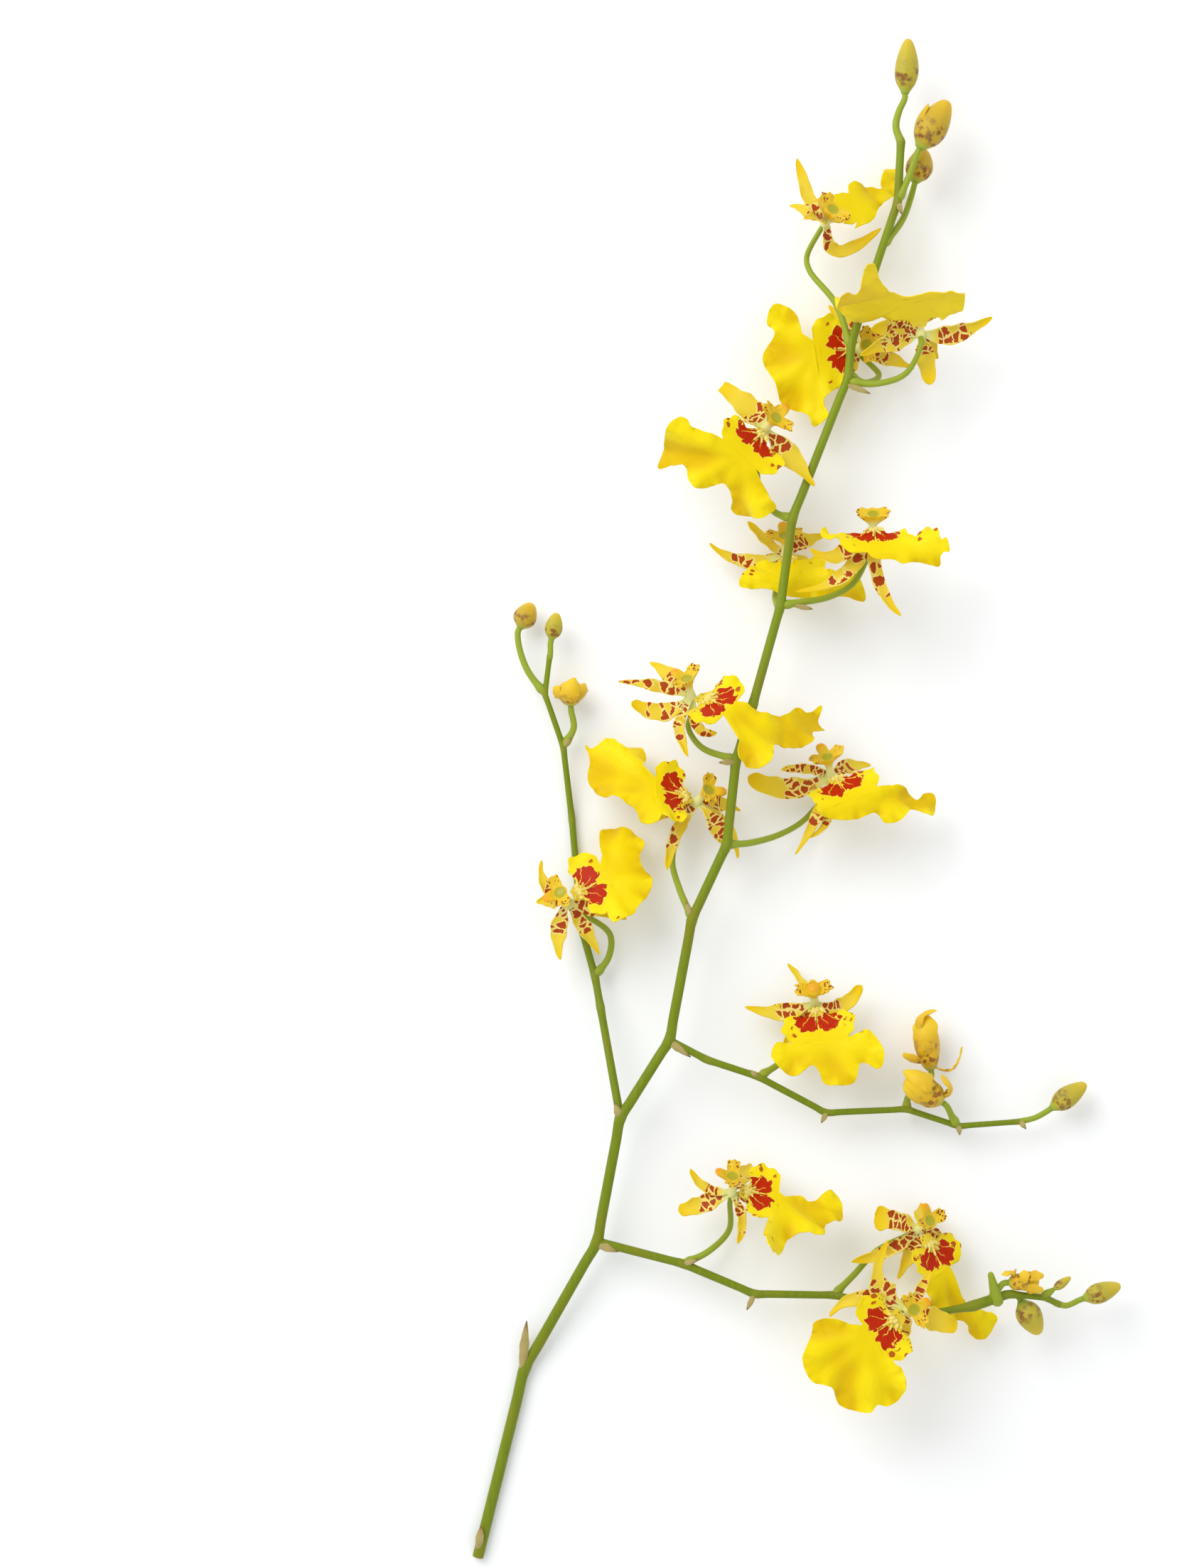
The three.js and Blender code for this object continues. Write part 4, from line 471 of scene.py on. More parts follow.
# %% Floor
bpy.ops.object.select_all(action="DESELECT")
bpy.ops.mesh.primitive_plane_add(size=6, location=(0, 0, -0.2 * MM))  # just below what lies on it
floor = bpy.context.object
floor.name = "pale_table"
card, add, shader = new_material("pale table top", Roughness=0.85)
cloudy = add("noise", add("place", out="Object"), 9.0, 3.0)
finish_material(shader, add("mix", cloudy, paint("#f8f9fa"), paint("#fcfdfe")))
floor.data.materials.append(card)
print("floor at z =", round(floor.location.z, 4))

# %% Light
window = bpy.data.objects.new("window", bpy.data.lights.new("window", "AREA"))
bpy.context.scene.collection.objects.link(window)
window.data.shape = "DISK"
window.data.size = 1.5  # m across
window.data.energy = 20  # W
window.location = (-1.0, 1.0, 1.35)
window.rotation_euler = (-window.location).to_track_quat("-Z", "Y").to_euler()  # looks at the spray's middle
sky = bpy.data.worlds.new("bright room")
sky.use_nodes = True
sky.node_tree.nodes["Background"].inputs[0].default_value = paint("#fbfcfd")
sky.node_tree.nodes["Background"].inputs[1].default_value = 0.86
bpy.context.scene.world = sky
bpy.context.scene.view_settings.view_transform = "Standard"

# %% Camera
FRAME_TALL = 441.2 * MM  # what the picture covers from bottom to top, at the height of the blooms
AIM = (-0.0563, 0.0054)
BLOOM_HEIGHT = 0.018  # m over the table
camera = bpy.data.objects.new("camera", bpy.data.cameras.new("camera"))
bpy.context.scene.collection.objects.link(camera)
camera.data.lens, camera.data.sensor_width = 100, 36
camera.data.clip_start, camera.data.clip_end = 0.05, 20
camera.location = (*AIM, BLOOM_HEIGHT + FRAME_TALL * camera.data.lens / camera.data.sensor_width)
camera.rotation_euler = (0, 0, 0)
bpy.context.scene.camera = camera
print("camera stands", round(camera.location.z, 3), "m over the table")

# %% [markdown]
# ## Curves that the parts follow
# Stems and the edges of the lips run on smooth curves through their traced places. A Catmull-Rom curve
# passes through each place, and its centripetal kind makes no loops where two places are close together,
# which is why it is used for both.

# %% Curves
def unit(v):
    """A direction of length 1."""
    v = np.asarray(v, float)
    return v / np.linalg.norm(v)


def smooth_step(x, low, high):
    """0 up to low and 1 from high, with a soft start and a soft end."""
    t = np.clip((np.asarray(x, float) - low) / (high - low), 0, 1)
    return t * t * (3 - 2 * t)


def through(places, t):
    """Points at the shares t along a centripetal curve through places."""
    places = np.asarray(places, float)
    last = len(places) - 1
    ends = np.vstack([2 * places[0] - places[1], places, 2 * places[-1] - places[-2]])
    made = []
    for share in np.atleast_1d(t):
        at = min(int(share * last), last - 1)
        w = share * last - at
        a, b, c, d = ends[at:at + 4]
        gap = [max(np.linalg.norm(q - p) ** 0.5, 1e-4) for p, q in ((a, b), (b, c), (c, d))]
        if gap[1] < 1e-3:
            gap[1] = 1.0
        t1 = ((b - a) / gap[0] - (c - a) / (gap[0] + gap[1]) + (c - b) / gap[1]) * gap[1]
        t2 = ((c - b) / gap[1] - (d - b) / (gap[1] + gap[2]) + (d - c) / gap[2]) * gap[1]
        square, cube = -3 * b + 3 * c - 2 * t1 - t2, 2 * b - 2 * c + t1 + t2
        made.append(b + t1 * w + square * w ** 2 + cube * w ** 3)
    return np.array(made)


def evenly(line, step):
    """A line's points again, at even steps along it, with both ends kept."""
    line = np.asarray(line, float)
    run = np.r_[0, np.cumsum(np.linalg.norm(np.diff(line, axis=0), axis=1))]
    wanted = np.linspace(0, run[-1], max(2, int(round(run[-1] / step)) + 1))
    return np.stack([np.interp(wanted, run, line[:, k]) for k in range(line.shape[1])], 1)


def bowed(start, middle, tip, t):
    """Points on the curve from start past a middle place to a tip, with the way it runs at each."""
    start, middle, tip = (np.asarray(p, float) for p in (start, middle, tip))
    pull = 2 * middle - 0.5 * start - 0.5 * tip
    t = np.asarray(t, float)[:, None]
    points = (1 - t) ** 2 * start + 2 * t * (1 - t) * pull + t * t * tip
    run = 2 * (1 - t) * (pull - start) + 2 * t * (tip - pull)
    return points, run / np.linalg.norm(run, axis=1)[:, None]


print("a quarter along a bow:", bowed((0, 0, 0), (1, 1, 0), (2, 0, 0), [0.25])[0].round(2))

# %% [markdown]
# ## Two ways to make a piece
# A petal or a bract is a strip: a grid whose rows are laid along the petal's line and whose columns go from
# edge to edge. A stem, a bud or a column is the same grid rolled up: its columns go round, its seam is
# merged, and its first and last row close to a point. Both begin as Blender's own grid, because its UV map
# then already runs along and across the piece, and the markings can follow it.

# %% Strips and rolls
BLADE = 0.32  # mm, how thick a petal or a lip is
CLEARANCE = 0.05  # mm that stay between the lowest places and the table
SHARP = 60  # degrees; an edge that turns more stays sharp, as a blade's rim does


def places_of(mesh):
    """Where a mesh's vertices are."""
    flat = np.zeros(len(mesh.vertices) * 3)
    mesh.vertices.foreach_get("co", flat)
    return flat.reshape(-1, 3)


def move_to(mesh, places):
    """Puts a mesh's vertices at new places."""
    mesh.vertices.foreach_set("co", places.ravel())
    mesh.update()


def add_values(mesh, name, values):
    """Keeps one number per vertex, for a material to read by name. A single number goes for all of them."""
    values = np.full(len(mesh.vertices), values) if np.isscalar(values) else np.asarray(values)
    mesh.attributes.new(name, "FLOAT", "POINT").data.foreach_set("value", values.astype(np.float32))


def add_map(mesh, name, flat, span):
    """Lays a UV map over a mesh from a flat place in mm for each vertex. It covers span mm round (0, 0)."""
    corners = np.zeros(len(mesh.loops), int)
    mesh.loops.foreach_get("vertex_index", corners)
    mesh.uv_layers.new(name=name).data.foreach_set("uv", (flat[corners] / span + 0.5).ravel())


def lay_flat(name, columns, rows, place):
    """A grid, its vertices moved to place(across, along), both from 0 to 1. Places are in mm."""
    bpy.ops.object.select_all(action="DESELECT")
    bpy.ops.mesh.primitive_grid_add(x_subdivisions=columns, y_subdivisions=rows, size=1)
    made = bpy.context.object
    made.name = made.data.name = name
    across, along = places_of(made.data).T[:2] + 0.5
    move_to(made.data, (place(across, along) - MIDDLE) * MM)
    return made


def roll_up(name, sides, rings, place):
    """A grid rolled to a closed body. place(angle, along) gives a point for an angle and a length share."""
    made = lay_flat(name, sides, rings, lambda across, along: place(2 * np.pi * across, along))
    bpy.ops.object.mode_set(mode="EDIT")
    bpy.ops.mesh.select_all(action="SELECT")
    bpy.ops.mesh.remove_doubles(threshold=1e-6)
    bpy.ops.mesh.normals_make_consistent(inside=False)
    bpy.ops.object.mode_set(mode="OBJECT")
    return made


def thicken(made, thickness):
    """A blade of even thickness from a sheet, with the sheet in its middle."""
    bpy.context.view_layer.objects.active = made
    wall = made.modifiers.new("thickness", "SOLIDIFY")
    wall.thickness, wall.offset, wall.use_rim = thickness * MM, 0.0, True
    bpy.ops.object.modifier_apply(modifier=wall.name)
    return made


def finish_piece(made, material, slot, *nodes):
    """Smooth but for its thin rims, painted, and in the place of its frame nodes. What would reach into the
    table lies on it."""
    places = places_of(made.data)
    places[:, 2] = np.maximum(places[:, 2], CLEARANCE * MM)
    move_to(made.data, places)
    bpy.ops.object.select_all(action="DESELECT")
    made.select_set(True)
    bpy.context.view_layer.objects.active = made
    bpy.ops.object.shade_smooth_by_angle(angle=math.radians(SHARP))
    made.data.materials.clear()
    made.data.materials.append(material)
    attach(made, "root")
    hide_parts(*nodes)
    return made


def join_pieces(name, made):
    """Parts that grew as one, as one object with its own name."""
    bpy.ops.object.select_all(action="DESELECT")
    for piece in made:
        piece.select_set(True)
    bpy.context.view_layer.objects.active = made[0]
    if len(made) > 1:
        bpy.ops.object.join()
    joined = bpy.context.object
    joined.name = joined.data.name = name
    return joined


print(f"blades are {BLADE} mm thick and lie at least {CLEARANCE} mm over the table")

# %% [markdown]
# ## The lip
# The lip is the bloom's showpiece: two round side lobes at its base, a short claw that holds it to the
# column, and the skirt, a broad middle lobe with a groove down its middle and a ruffled edge. It is one
# thin sheet, so it is drawn flat first, as a paper pattern: the outline of the base and the outline of the
# skirt, filled with a fine even net of triangles. Then the pattern is waved, and bent where the skirt folds
# back. A net of triangles takes any outline, where a grid would leave steps at the edge.

# %% The lip's pattern
PLATE_LENGTH, PLATE_RISE = 13.5, 1.0  # mm from the bloom's middle to the isthmus, along the lip and outward
BEND_REACH = 3.0  # mm, half the length of the fold at the isthmus
SIDE_LOBE = [(1.7, -11.4), (3.3, -8.6), (7.4, -9.2), (10.2, -6.2), (9.7, -2.6), (7.3, -0.2)]  # one half
WAIST = [(-2.6, -1.6), (2.6, -1.6)]  # the skirt's outline closes here, over the base
NET, FINE_NET = 0.8, 0.24  # mm between net points, on the blade and round the crest
CREST_REACH = (3.6, 2.7)  # mm from the crest's middle to the edge of its finer net, across and along
EDGE_GAP = 0.14  # mm between an outline and the net inside it
SKIRT_STEP, LOBE_STEP = 0.8, 0.75  # mm between the points of the two outlines
FINGERS = [  # the crest's lumps and teeth, from its middle: from where, to where, half width, height
    ((0.2, 0.2), (0.55, 2.3), 0.26, 1.2), ((-0.6, 0.0), (-1.5, 1.4), 0.26, 1.1),
    ((1.1, 0.0), (2.1, 0.8), 0.26, 1.0), ((-1.6, -0.3), (-2.7, 0.1), 0.28, 0.9),
    ((-1.5, -1.1), (-1.8, -0.7), 0.62, 1.0), ((-0.5, -1.5), (-0.4, -0.8), 0.56, 1.3),
    ((0.6, -1.2), (0.9, -0.6), 0.58, 1.2), ((1.8, -1.2), (2.2, -0.9), 0.5, 0.9),
    ((0.1, -0.3), (0.15, 0.0), 0.48, 1.4), ((-2.6, -1.7), (-2.9, -1.4), 0.46, 0.7),
    ((2.8, -1.8), (3.0, -1.5), 0.42, 0.7)]
MARK_AT = -5.2  # mm from the isthmus to the middle of the red patches, where a bloom doesn't say
CREST_BACK, CREST_LAST = 3.4, -9.3  # mm from there back to the crest's middle, and how far back that may lie
DOMED = 0.0055  # per mm: how fast the skirt falls off from its middle
FRILL_HEIGHT, FRILL_FADE = 0.55, 2.2  # mm: the frill's height at the edge, and how soon it fades inward
FRILL_WAVES = (7.4, 3.3)  # mm along the edge from one frill to the next, the broad ones and the small ones
SCALLOP_DEPTH, SCALLOPS = 0.05, 27  # the side lobes' edge: a share of their reach, and radians round a lobe


def bloom_ways(bloom):
    """The bloom's own directions: out of its face, along its lip, and the folded skirt's."""
    face = unit(bloom["column"])
    plate = unit(bloom["lip"])
    plate = unit(plate - plate @ face * face)
    turn = math.radians(bloom["bend"])
    return dict(face=face, plate=plate, across=np.cross(plate, face),
                lobe=plate * math.cos(turn) - face * math.sin(turn),
                lobe_face=face * math.cos(turn) + plate * math.sin(turn),
                isthmus=plate * PLATE_LENGTH + face * PLATE_RISE)


def lip_height(u, v, wave, phase):
    """How high the waved sheet stands over its flat pattern."""
    reach, angle = np.hypot(u, v), np.arctan2(u, v)
    skirt = smooth_step(v, -4, 4)
    ripple = np.sin(5 * angle + phase) + 0.6 * np.sin(9 * angle + 2.3 * phase)
    ripple = ripple * 0.8 * wave * np.minimum(reach / 18, 1.2) ** 2
    dents = 0.6 * np.sin(0.34 * u + 0.16 * v + phase) * np.sin(0.3 * v - 0.18 * u + 1.7 * phase)
    groove = 0.8 * np.exp(-((u / 2.2) ** 2)) * np.minimum(reach / 8, 1)
    base = 0.012 * u ** 2 + 0.4 * np.sin(0.9 * v + phase) * smooth_step(np.abs(u), 5, 9)
    blade = ripple + dents * np.minimum(reach / 8, 1) - groove - DOMED * reach ** 2
    return skirt * blade + (1 - skirt) * base


def warts(u, v):
    """The crest, from its own middle: a heap of lumps, from which thin teeth reach out over the patches."""
    heap = 0.75 * np.exp(-((u / 2.0) ** 2) - ((v + 0.9) / 1.1) ** 2)
    for start, end, reach, height in FINGERS:
        run = np.array(end) - start
        share = np.clip(((u - start[0]) * run[0] + (v - start[1]) * run[1]) / (run @ run), 0, 1)
        away = np.hypot(u - start[0] - share * run[0], v - start[1] - share * run[1])
        heap = np.maximum(heap, height * (0.8 + 0.2 * share) * np.exp(-((away / reach) ** 4)))
    return heap


def lip_place(ways, u, v, height):
    """Pattern places, with heights, as points measured from the bloom's middle."""
    u, v, height = (np.asarray(x, float)[:, None] for x in (u, v, height))
    share = np.clip((v + BEND_REACH) / (2 * BEND_REACH), 0, 1)
    along = np.where(v < -BEND_REACH, v * ways["plate"], np.where(
        v > BEND_REACH, v * ways["lobe"],
        -BEND_REACH * (1 - share) ** 2 * ways["plate"] + BEND_REACH * share ** 2 * ways["lobe"]))
    normal = (1 - share) * ways["face"] + share * ways["lobe_face"]
    normal = normal / np.linalg.norm(normal, axis=1)[:, None]
    return ways["isthmus"] + u * ways["across"] + along + height * normal


def skirt_pattern(ways, bloom, phase):
    """The skirt's outline as seen from above, turned back to the flat pattern."""
    across, lobe, out = ways["across"], ways["lobe"], ways["lobe_face"]
    det = across[0] * lobe[1] - across[1] * lobe[0]
    seen = np.array(bloom["skirt"], float) - np.array(bloom["centre"]) - ways["isthmus"][:2]
    u = v = np.zeros(len(seen))
    height = np.zeros(len(seen))
    for _ in range(4):
        px, py = seen[:, 0] - height * out[0], seen[:, 1] - height * out[1]
        u = (px * lobe[1] - py * lobe[0]) / det
        v = (across[0] * py - across[1] * px) / det
        height = lip_height(u, v, bloom["wave"], phase)
    outline = np.stack([u, v], 1)
    return outline[::-1] if outline[0][0] < 0 else outline


print("a side lobe reaches", max(u for u, _ in SIDE_LOBE), "mm out")

# %% Filling a pattern with a net
ROW_SHARE = 0.866  # a net of even triangles has its rows this much closer than its points


def inside(points, outline):
    """Which points lie in an outline."""
    hit = np.zeros(len(points), bool)
    for (x0, y0), (x1, y1) in zip(outline, np.roll(outline, -1, axis=0)):
        if y0 != y1:
            over = (y0 > points[:, 1]) != (y1 > points[:, 1])
            hit ^= over & (points[:, 0] < x0 + (points[:, 1] - y0) * (x1 - x0) / (y1 - y0))
    return hit


def net_points(low, high, step):
    """An even net of points in rows, each second row shifted by half a step."""
    made = []
    for i, y in enumerate(np.arange(low[1], high[1], step * ROW_SHARE)):
        x = np.arange(low[0] + (i % 2) * step / 2, high[0], step)
        made.append(np.stack([x, np.full(len(x), y)], 1))
    return np.vstack(made)


def search_tree(points):
    """Finds the nearest of many flat points."""
    tree = kdtree.KDTree(len(points))
    for i, (x, y) in enumerate(points):
        tree.insert((x, y, 0), i)
    tree.balance()
    return tree


def fill_pattern(outlines, crest_at):
    """Points and triangles that fill the outlines. Where two of them overlap, there is still one sheet."""
    edge = np.vstack(outlines)
    blade = net_points(edge.min(0), edge.max(0), NET)
    low, high = np.array([[-1], [1]]) * CREST_REACH + [0, crest_at]
    near = np.all((blade > low) & (blade < high), axis=1)
    net = np.vstack([blade[~near], net_points(low, high, FINE_NET)])
    net = net[np.any([inside(net, o) for o in outlines], axis=0)]
    tree = search_tree(edge)
    net = np.array([p for p in net if tree.find((*p, 0))[2] > EDGE_GAP])
    loops, start = [], 0
    for outline in outlines:
        loops.append(list(range(start, start + len(outline))))
        start += len(outline)
    points = [Vector(p) for p in np.vstack([edge, net])]
    points, _, faces, *_ = delaunay_2d_cdt(points, [], loops, 1, 1e-5)
    return np.array([tuple(p) for p in points]), [tuple(f) for f in faces]


def edge_run(points, faces):
    """For each point, how far it is from the sheet's free edge, and how far round the edge that is."""
    count = {}
    for f in faces:
        for a, b in zip(f, (*f[1:], f[0])):
            count[(a, b)] = count.get((a, b), 0) + 1
    after = {a: b for (a, b) in count if (b, a) not in count}
    loops, left = [], set(after)
    while left:
        at = min(left)
        loop = []
        while at in left:
            left.discard(at)
            loop.append(at)
            at = after[at]
        loops.append(loop)
    loop = max(loops, key=len)
    line = points[loop]
    run = np.r_[0, np.cumsum(np.linalg.norm(np.diff(line, axis=0), axis=1))]
    tree = search_tree(line)
    found = [tree.find((x, y, 0)) for x, y in points]
    return np.array([f[2] for f in found]), np.array([run[f[1]] for f in found])


print("a net of", len(net_points((0, 0), (10, 10), NET)), "points fills a square centimetre")

# %% Making a lip
LIP_SPAN = 64.0  # mm of pattern that the UV map covers


def make_lip(name, bloom, phase):
    """A lip's sheet as a mesh with its UV map, its places from the bloom's middle, the bloom's directions,
    how each place rises into the crest, and the numbers that the skin reads."""
    ways = bloom_ways(bloom)
    skirt = skirt_pattern(ways, bloom, phase)
    skirt = evenly(through(skirt, np.linspace(0, 1, 12 * len(skirt))), SKIRT_STEP)
    half = evenly(through(SIDE_LOBE, np.linspace(0, 1, 70)) * (bloom.get("lobes", 1.0), 1), LOBE_STEP)
    share = np.linspace(0, 1, len(half))
    depth = SCALLOP_DEPTH * np.sin(np.pi * share)
    sides = []
    for side, turn in ((1, phase), (-1, 2.4 * phase)):
        reach = side * (1 + depth * np.sin(SCALLOPS * share + turn))
        sides.append(half * np.stack([reach, np.ones(len(half))], 1))
    base = np.vstack([sides[0], sides[1][::-1]])
    crest_at = max(bloom.get("mark", MARK_AT) - CREST_BACK, CREST_LAST)
    points, faces = fill_pattern([base, np.vstack([skirt, WAIST])], crest_at)
    u, v = points[:, 0], points[:, 1]
    deep, run = edge_run(points, faces)
    broad, small = (2 * np.pi * run / wave for wave in FRILL_WAVES)
    frill = np.sin(broad + phase) + 0.45 * np.sin(small + 3 * phase)
    ease = smooth_step(np.hypot(u, v + 3), 5, 10)  # no frill round the claw
    height = lip_height(u, v, bloom["wave"], phase)
    height = height + FRILL_HEIGHT * frill * np.exp(-deep / FRILL_FADE) * ease
    crest = warts(u, v - crest_at) * bloom.get("teeth", 1.0)
    # how high a place stands in the waves: it drives painted shade in the folds and a painted highlight on
    # their backs
    fold_shading = 0.5 + 0.3 * (height + DOMED * (u ** 2 + v ** 2))
    place = lip_place(ways, u, v, height)
    raised = lip_place(ways, u, v, height + crest) - place
    mesh = bpy.data.meshes.new(name)
    mesh.from_pydata(place.tolist(), [], faces)
    add_map(mesh, "pattern", points, LIP_SPAN)
    return mesh, place, ways, raised, dict(crest=crest, fold_shading=np.clip(fold_shading, 0, 1), deep=deep)


def stand_bloom(bloom, low, high, place):
    """The bloom's middle, so that its lip is as high as its frame node."""
    rise = (low.z + high.z) / 2 / MM - (place[:, 2].min() + place[:, 2].max()) / 2
    return np.array([*bloom["centre"], rise])


mesh, place, *_ = make_lip("lip_test", BLOOMS["m4"], 1.0)
print("one lip:", len(mesh.polygons), "triangles,", np.ptp(place, axis=0).round(1), "mm")
bpy.data.meshes.remove(mesh)

# %% [markdown]
# ## The skin of the lip
# A fresh lip is a clear, slightly waxy yellow; painted shade makes it deeper down in its folds and a painted
# highlight paler on their backs. On each side of the crest lies a chestnut-red patch with a lobed, darker
# edge and a few thin cream cracks, so that the two look like the wings of a butterfly. The crest itself
# stays cream, and two or three tawny spots mark each side lobe. The back of the lip is plain. All of it
# follows the pattern, so the material reads the lip's own UV map, turned back to millimetres, and the
# numbers kept on its
# vertices: how high the crest is, how high each place stands in the waves for the painted fold shading, and
# which side.

# %% Lip material
PATCH_OUT, PATCH_WIDTH, PATCH_LENGTH = 3.1, 7.0, 6.4  # mm: a red patch's middle from the crest, and its size


def lip_skin():
    """Waxy yellow petal with the red patches, cream crest and tawny spots that make an oncidium's lip."""
    skin, add, shader = new_material("waxy yellow lip petal", Roughness=0.45, IOR=1.4,
                                     Specular_IOR_Level=0.14, Subsurface_Weight=0.1, Subsurface_Scale=0.0015)
    shader.inputs["Subsurface Radius"].default_value = (1.0, 0.6, 0.1)
    flat = add("scale", add("shift", add("map", uv_map="pattern"), (0.5, 0.5, 0)), LIP_SPAN)
    solid = add("scale", add("place", out="Object"), 1 / MM)
    u, v = add("split", flat, out=("X", "Y"))
    side = add("size", u)
    reach = add("length", flat)
    fold_shading, front, crest, blush, mark, deep = (add("number", attribute_name=what, out="Fac")
                                             for what in ("fold_shading", "front", "crest", "blush", "mark", "deep"))
    # painted shade: golden down in the folds; painted highlight: lemon on their backs; faint veins fan out
    colour = add("mix", add("ramp", fold_shading, 0.15, 0.6), paint("#dab406"), paint("#ecd108"))
    colour = add("mix", add("ramp", fold_shading, 0.55, 0.95), colour, paint("#f4dc14"))
    colour = add("mix", add("times", add("noise", solid, 0.1, 3), 0.35), colour, paint("#e4c800"))
    fan = add("plus", add("times", add("angle", u, v), 40.0), add("times", add("noise", flat, 0.3, 2), 14.0))
    fan = add("sine", fan)
    veins = add("times", add("ramp", fan, 0.4, 1.0), add("ramp", reach, 5.0, 12.0))
    colour = add("mix", add("times", veins, 0.07), colour, paint("#cfa200"))
    # the base is a little paler toward the column
    down = add("minus", v, mark)
    colour = add("mix", add("times", add("ramp", down, -3.0, -6.0), 0.75), colour, paint("#e0ca44"))
    # two red patches beside the crest: their edge is pushed in and out by noise and drawn out in lobes
    ragged = add("minus", add("noise", solid, 0.42, 4, 0.62), 0.5)
    turn = add("angle", add("minus", side, 2.6), add("plus", down, 0.4))
    lobes = add("sine", add("plus", add("times", turn, 7.0), add("times", ragged, 12.0)))
    across = add("over", add("minus", side, PATCH_OUT), PATCH_WIDTH / 2)
    along = add("over", add("minus", down, add("times", side, -0.12)), PATCH_LENGTH / 2)
    oval = add("root", add("plus", add("times", across, across), add("times", along, along)))
    oval = add("plus", oval, add("times", ragged, 1.25))
    oval = add("plus", oval, add("times", lobes, 0.12))
    oval = add("plus", oval, add("times", add("minus", 1.0, blush), 2.0))
    # thin cream cracks run out from the crest, and one parts the patches
    rays = add("sine", add("plus", add("times", add("angle", u, add("plus", down, 4.4)), 11.0),
                           add("times", ragged, 7.0)))
    rays = add("times", add("ramp", rays, 0.955, 0.99), add("ramp", down, 1.2, -0.6))
    middle = add("plus", side, add("times", ragged, 1.4))
    whole = add("times", add("minus", 1.0, rays), add("ramp", middle, 0.05, 0.2))
    blotch = add("times", add("ramp", oval, 1.02, 0.97), whole)
    red = add("mix", add("noise", solid, 0.6, 3), paint("#a41c00"), paint("#c22e02"))
    red = add("mix", add("ramp", oval, 0.78, 0.98), red, paint("#ac3404"))
    halo = add("times", add("ramp", oval, 1.12, 1.03), add("ramp", down, 4.2, 1.7))
    colour = add("mix", add("times", add("times", halo, front), 0.4), colour, paint("#f2e070"))
    colour = add("mix", add("times", blotch, front), colour, red)
    # tawny spots on the side lobes, and dots by the column
    away, colours = add("cells", solid, 0.42, out=("Distance", "Color"))
    picked = add("split", colours)
    wide = add("plus", 0.3, add("times", ragged, 0.9))
    spot = add("ramp", add("minus", away, wide), 0.08, 0.0)
    spot = add("times", spot, add("ramp", picked, 0.5, 0.52))
    outer = add("times", add("ramp", v, -0.5, -2.0), add("ramp", side, 5.6, 6.6))
    outer = add("times", outer, add("ramp", deep, 2.9, 2.4))
    spot = add("times", add("times", spot, outer), front)
    colour = add("mix", spot, colour, paint("#b25a14"))
    dots = add("times", add("ramp", add("cells", solid, 0.8), 0.3, 0.22), add("ramp", down, -3.2, -4.0))
    colour = add("mix", add("times", add("times", dots, front), 0.7), colour, paint("#8a5018"))
    # the crest is cream, and yellow-brown down between its lumps
    cream = add("mix", add("noise", solid, 1.1, 2), paint("#e4cc4a"), paint("#f4e89a"))
    cream = add("mix", add("ramp", crest, 0.6, 0.34), cream, paint("#c89a36"))
    colour = add("mix", add("times", add("ramp", crest, 0.3, 0.46), front), colour, cream)
    # the back of the blade is a little duller
    colour = add("mix", add("times", add("minus", 1.0, front), 0.35), colour, paint("#e6ce48"))
    grain = add("plus", add("times", add("noise", solid, 2.6, 3), 0.5), add("times", veins, 0.25))
    rough = add("plus", add("times", add("noise", solid, 0.6, 2), 0.2), 0.36)
    rough = add("minus", rough, add("times", blotch, 0.12))
    finish_material(shader, colour, rough, grain, 0.14, 0.4)
    return skin


LIP_SKIN = lip_skin()

# %% All the lips
WAVES = {name: 1 + 2.1 * i for i, name in enumerate(BLOOMS)}  # each bloom's waves start elsewhere
BLUSH = {"t4": 0.0, "t5_right": 0.0, "m1": 0.4}  # how far the red patches have spread; the others are full
STAND = {}  # where each bloom's middle is
for name, bloom in BLOOMS.items():
    mesh, place, ways, raised, kept = make_lip(f"lip_{name}", bloom, WAVES[name])
    STAND[name] = stand_bloom(bloom, *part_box(f"bloom_{name}_lip"), place)
    move_to(mesh, (place + STAND[name] - MIDDLE) * MM)
    lip = bpy.data.objects.new(f"lip_{name}", mesh)
    bpy.context.scene.collection.objects.link(lip)
    thicken(lip, BLADE)
    # Solidify keeps the sheet's vertices as one side and adds the other side after them
    half = len(place)
    co = places_of(lip.data)
    lift = (co[:half] / MM + MIDDLE - place - STAND[name]) @ unit(ways["face"] + ways["lobe_face"])
    first = 1.0 if lift.mean() > 0 else 0.0
    # only the front carries the crest; the back stays smooth
    front = slice(0, half) if first else slice(half, 2 * half)
    co[front] += raised * MM
    move_to(lip.data, co)
    add_values(lip.data, "front", np.r_[np.full(half, first), np.full(half, 1 - first)])
    for what, values in kept.items():
        add_values(lip.data, what, np.r_[values, values])
    add_values(lip.data, "blush", BLUSH.get(name, 1.0))
    add_values(lip.data, "mark", bloom.get("mark", MARK_AT))
    finish_piece(lip, LIP_SKIN, "lip", f"bloom_{name}_lip")
print("lips:", len(BLOOMS), "triangles in the last:", sum(len(p.vertices) - 2 for p in lip.data.polygons))

# %% [markdown]
# ## Sepals and petals
# Three sepals and two petals, called tepals when they look alike, spread round the column like narrow
# straps. Each starts as a claw, is widest before its middle and runs out to a narrow tip that often twists
# or curls, and some end blunt. Its cross-section is a shallow arc, and its edges wave. Each is one strip of
# grid, laid along its own bowed line from the bloom's middle to its traced tip.

